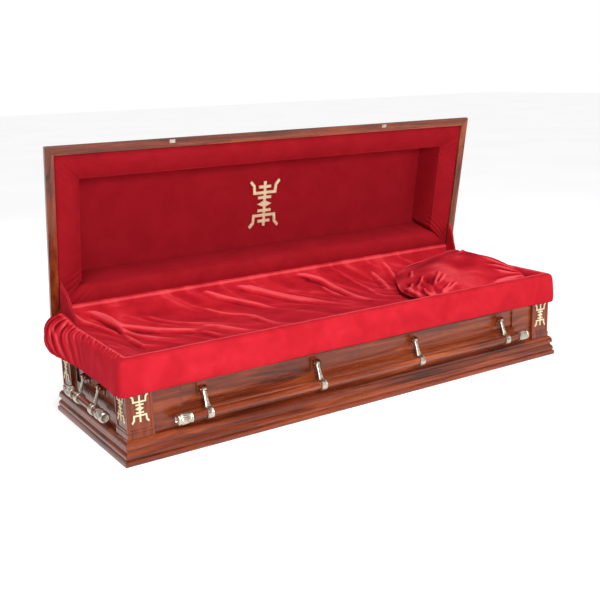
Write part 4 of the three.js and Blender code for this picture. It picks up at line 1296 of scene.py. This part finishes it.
def make_hinge(sizes):
    """The long hinge, and the two catches on the free edge of the lid with their screws."""
    steel = shared("nickelled_hinge", hinge_metal)
    for node, body in (("hinge_leaf_body", "casket"), ("hinge_leaf_lid", "lid")):
        leaf = rounded(clean_copy(node, f"{node}_bright"), 0.25 * MM, segments=1)
        finished(leaf, steel, body, "hinge_metal", node)
    for number, x in enumerate((-528 * MM, 528 * MM), 1):
        middle = LID_WIDTH - 10 * MM
        plate = box_piece("plate", (x - 12 * MM, -middle - 7 * MM, -1.6 * MM),
                          (x + 12 * MM, -middle + 7 * MM, 0.2 * MM))
        tongue = box_piece("tongue", (x - 4 * MM, -middle - 4 * MM, -3.4 * MM),
                           (x + 4 * MM, -middle + 5 * MM, -1 * MM))
        catch = united(plate, tongue)
        catch.name = f"lid_catch_{number}"
        catch.data.transform(LID)
        finished(rounded(catch, 0.5 * MM), metal(), "lid", "cast_metal")
        heads = [LID @ Vector((x + way * 8 * MM, -middle, -1.5 * MM)) for way in (-1, 1)]
        outwards = LID.to_3x3() @ Vector((0, 0, -1))
        make_screws(f"catch_screws_{number}", heads, outwards, 2.2 * MM, metal(), "lid", "cast_metal")


# Stage

CAMERA_PLACE = Vector((-2101.5, -3110.1, 1296.5)) * MM
CAMERA_YAW, CAMERA_PITCH, CAMERA_ROLL = (math.radians(angle) for angle in (32.709, 14.074, -1.654))


def make_camera():
    """The camera, at the height and angle that the casket is seen from."""
    lens = bpy.data.cameras.new("Camera")
    lens.lens = 55.12
    lens.sensor_width = 36
    lens.clip_end = 50
    camera = bpy.data.objects.new("Camera", lens)
    bpy.context.scene.collection.objects.link(camera)
    flat = math.cos(CAMERA_PITCH)
    forward = Vector((math.sin(CAMERA_YAW) * flat, math.cos(CAMERA_YAW) * flat, -math.sin(CAMERA_PITCH)))
    level = Vector((math.cos(CAMERA_YAW), -math.sin(CAMERA_YAW), 0))
    up = level.cross(forward)
    right = level * math.cos(CAMERA_ROLL) + up * math.sin(CAMERA_ROLL)
    above = up * math.cos(CAMERA_ROLL) - level * math.sin(CAMERA_ROLL)
    turned = Matrix((right, above, -forward)).transposed().to_4x4()
    camera.matrix_world = Matrix.Translation(CAMERA_PLACE) @ turned
    bpy.context.scene.camera = camera


def make_light(name, place, target, size, power, colour=(1, 1, 1)):
    """A square soft light."""
    data = bpy.data.lights.new(name, "AREA")
    data.size = size
    data.energy = power
    data.color = colour
    light = bpy.data.objects.new(name, data)
    bpy.context.scene.collection.objects.link(light)
    light.location = place
    light.rotation_euler = (Vector(target) - Vector(place)).to_track_quat("-Z", "Y").to_euler()


def make_sky():
    """A sky that lights softly and is seen as plain white."""
    world = bpy.data.worlds.new("World")
    bpy.context.scene.world = world
    world.use_nodes = True
    nodes, links = world.node_tree.nodes, world.node_tree.links
    soft = nodes["Background"]
    soft.inputs["Color"].default_value = (1, 1, 1, 1)
    soft.inputs["Strength"].default_value = 0.22
    seen = nodes.new("ShaderNodeBackground")
    seen.inputs["Color"].default_value = (1, 1, 1, 1)
    path = nodes.new("ShaderNodeLightPath")
    either = nodes.new("ShaderNodeMixShader")
    links.new(path.outputs["Is Camera Ray"], either.inputs[0])
    links.new(soft.outputs[0], either.inputs[1])
    links.new(seen.outputs[0], either.inputs[2])
    links.new(either.outputs[0], nodes["World Output"].inputs["Surface"])


def make_stage():
    """A pale floor, a white sky and soft lights."""
    make_sky()
    shape = bmesh.new()
    bmesh.ops.create_grid(shape, x_segments=1, y_segments=1, size=30)
    mesh = bpy.data.meshes.new("floor")
    shape.to_mesh(mesh)
    shape.free()
    floor = link("floor", mesh)
    floor.location.z = -0.2 * MM
    paper = Finish("floor")
    tone = paper.noise(paper.place(), 0.7, detail=2)
    paper.paint(tone, (0.3, (0.86, 0.86, 0.86)), (0.7, (0.9, 0.9, 0.9)))
    paper.set(Roughness=0.85, Specular_IOR_Level=0.2, Emission_Color=(1, 1, 1, 1), Emission_Strength=0.26)
    floor.data.materials.append(paper.material)
    sun = bpy.data.lights.new("Overhead", "SUN")
    sun.energy = 2.05
    sun.angle = math.radians(24)
    overhead = bpy.data.objects.new("Overhead", sun)
    bpy.context.scene.collection.objects.link(overhead)
    overhead.rotation_euler = Vector((0.25, 0.38, -0.9)).to_track_quat("-Z", "Y").to_euler()
    middle = (0, 0, 0.3)
    make_light("Key", (-0.8, -4.0, 1.9), middle, 1.2, 116)
    make_light("Side", (3.0, -2.6, 2.0), middle, 1.6, 16)
    make_light("Behind", (-1.0, 3.8, 2.8), middle, 2.5, 36)
    bpy.context.scene.view_settings.view_transform = "Standard"


# Operators

class MakesPart:
    """What the operators share: each runs one function on the scene's sizes."""

    bl_options = {"REGISTER", "UNDO"}

    def execute(self, context):
        self.make(context.scene.casket_sizes)
        return {"FINISHED"}


class CASKET_OT_stage(MakesPart, bpy.types.Operator):
    """Make the camera, the floor and the lights"""
    bl_idname = "casket.stage"
    bl_label = "Stage"

    def make(self, sizes):
        make_camera()
        make_stage()


class CASKET_OT_base(MakesPart, bpy.types.Operator):
    """Make the moulded base and the boards"""
    bl_idname = "casket.base"
    bl_label = "Base"

    def make(self, sizes):
        make_base(sizes)


class CASKET_OT_walls(MakesPart, bpy.types.Operator):
    """Make the wall panels and the corner posts with their ornament"""
    bl_idname = "casket.walls"
    bl_label = "Walls"

    def make(self, sizes):
        make_walls(sizes)


class CASKET_OT_lid(MakesPart, bpy.types.Operator):
    """Make the wood of the lid and its ornament"""
    bl_idname = "casket.lid"
    bl_label = "Lid"

    def make(self, sizes):
        make_lid_wood(sizes)


class CASKET_OT_lining(MakesPart, bpy.types.Operator):
    """Make the padded rolls and the panel in the lid"""
    bl_idname = "casket.lining"
    bl_label = "Lid lining"

    def make(self, sizes):
        make_lining(sizes)


class CASKET_OT_handles(MakesPart, bpy.types.Operator):
    """Make the swing bar handles"""
    bl_idname = "casket.handles"
    bl_label = "Handles"

    def make(self, sizes):
        make_handles(sizes)


class CASKET_OT_hinge(MakesPart, bpy.types.Operator):
    """Make the hinge and the lid catches"""
    bl_idname = "casket.hinge"
    bl_label = "Hinge and catches"

    def make(self, sizes):
        make_hinge(sizes)


class CASKET_OT_bed(MakesPart, bpy.types.Operator):
    """Make the mattress, the bed velvet and the pillow"""
    bl_idname = "casket.bed"
    bl_label = "Bed"

    def make(self, sizes):
        make_mattress(sizes)
        make_bed_velvet(sizes)
        make_pillow(sizes)


class CASKET_OT_skirt(MakesPart, bpy.types.Operator):
    """Make the velvet over the rim and the webs at the hinge"""
    bl_idname = "casket.skirt"
    bl_label = "Skirt and gussets"

    def make(self, sizes):
        make_skirt(sizes)
        make_gussets(sizes)


OPERATORS = (CASKET_OT_stage, CASKET_OT_base, CASKET_OT_walls, CASKET_OT_lid, CASKET_OT_lining,
             CASKET_OT_handles, CASKET_OT_hinge, CASKET_OT_bed, CASKET_OT_skirt)


class CASKET_PT_parts(bpy.types.Panel):
    """Lists the parts of the casket, their sizes and their colours"""
    bl_idname = "CASKET_PT_parts"
    bl_label = "Casket"
    bl_space_type = "VIEW_3D"
    bl_region_type = "UI"
    bl_category = "Casket"

    def draw(self, context):
        for operator in OPERATORS:
            self.layout.operator(operator.bl_idname)
        for group in (context.scene.casket_sizes, context.scene.casket_colours):
            for name in group.bl_rna.properties.keys():
                if name not in ("rna_type", "name"):
                    self.layout.prop(group, name)


CLASSES = (CasketColours, CasketSizes, *OPERATORS, CASKET_PT_parts)


def register():
    for each in CLASSES:
        bpy.utils.register_class(each)
    bpy.types.Scene.casket_colours = PointerProperty(type=CasketColours)
    bpy.types.Scene.casket_sizes = PointerProperty(type=CasketSizes)


def unregister():
    del bpy.types.Scene.casket_sizes
    del bpy.types.Scene.casket_colours
    for each in reversed(CLASSES):
        bpy.utils.unregister_class(each)


def main():
    register()
    for operator in OPERATORS:
        group, name = operator.bl_idname.split(".")
        getattr(getattr(bpy.ops, group), name)()


if __name__ == "__main__":
    main()
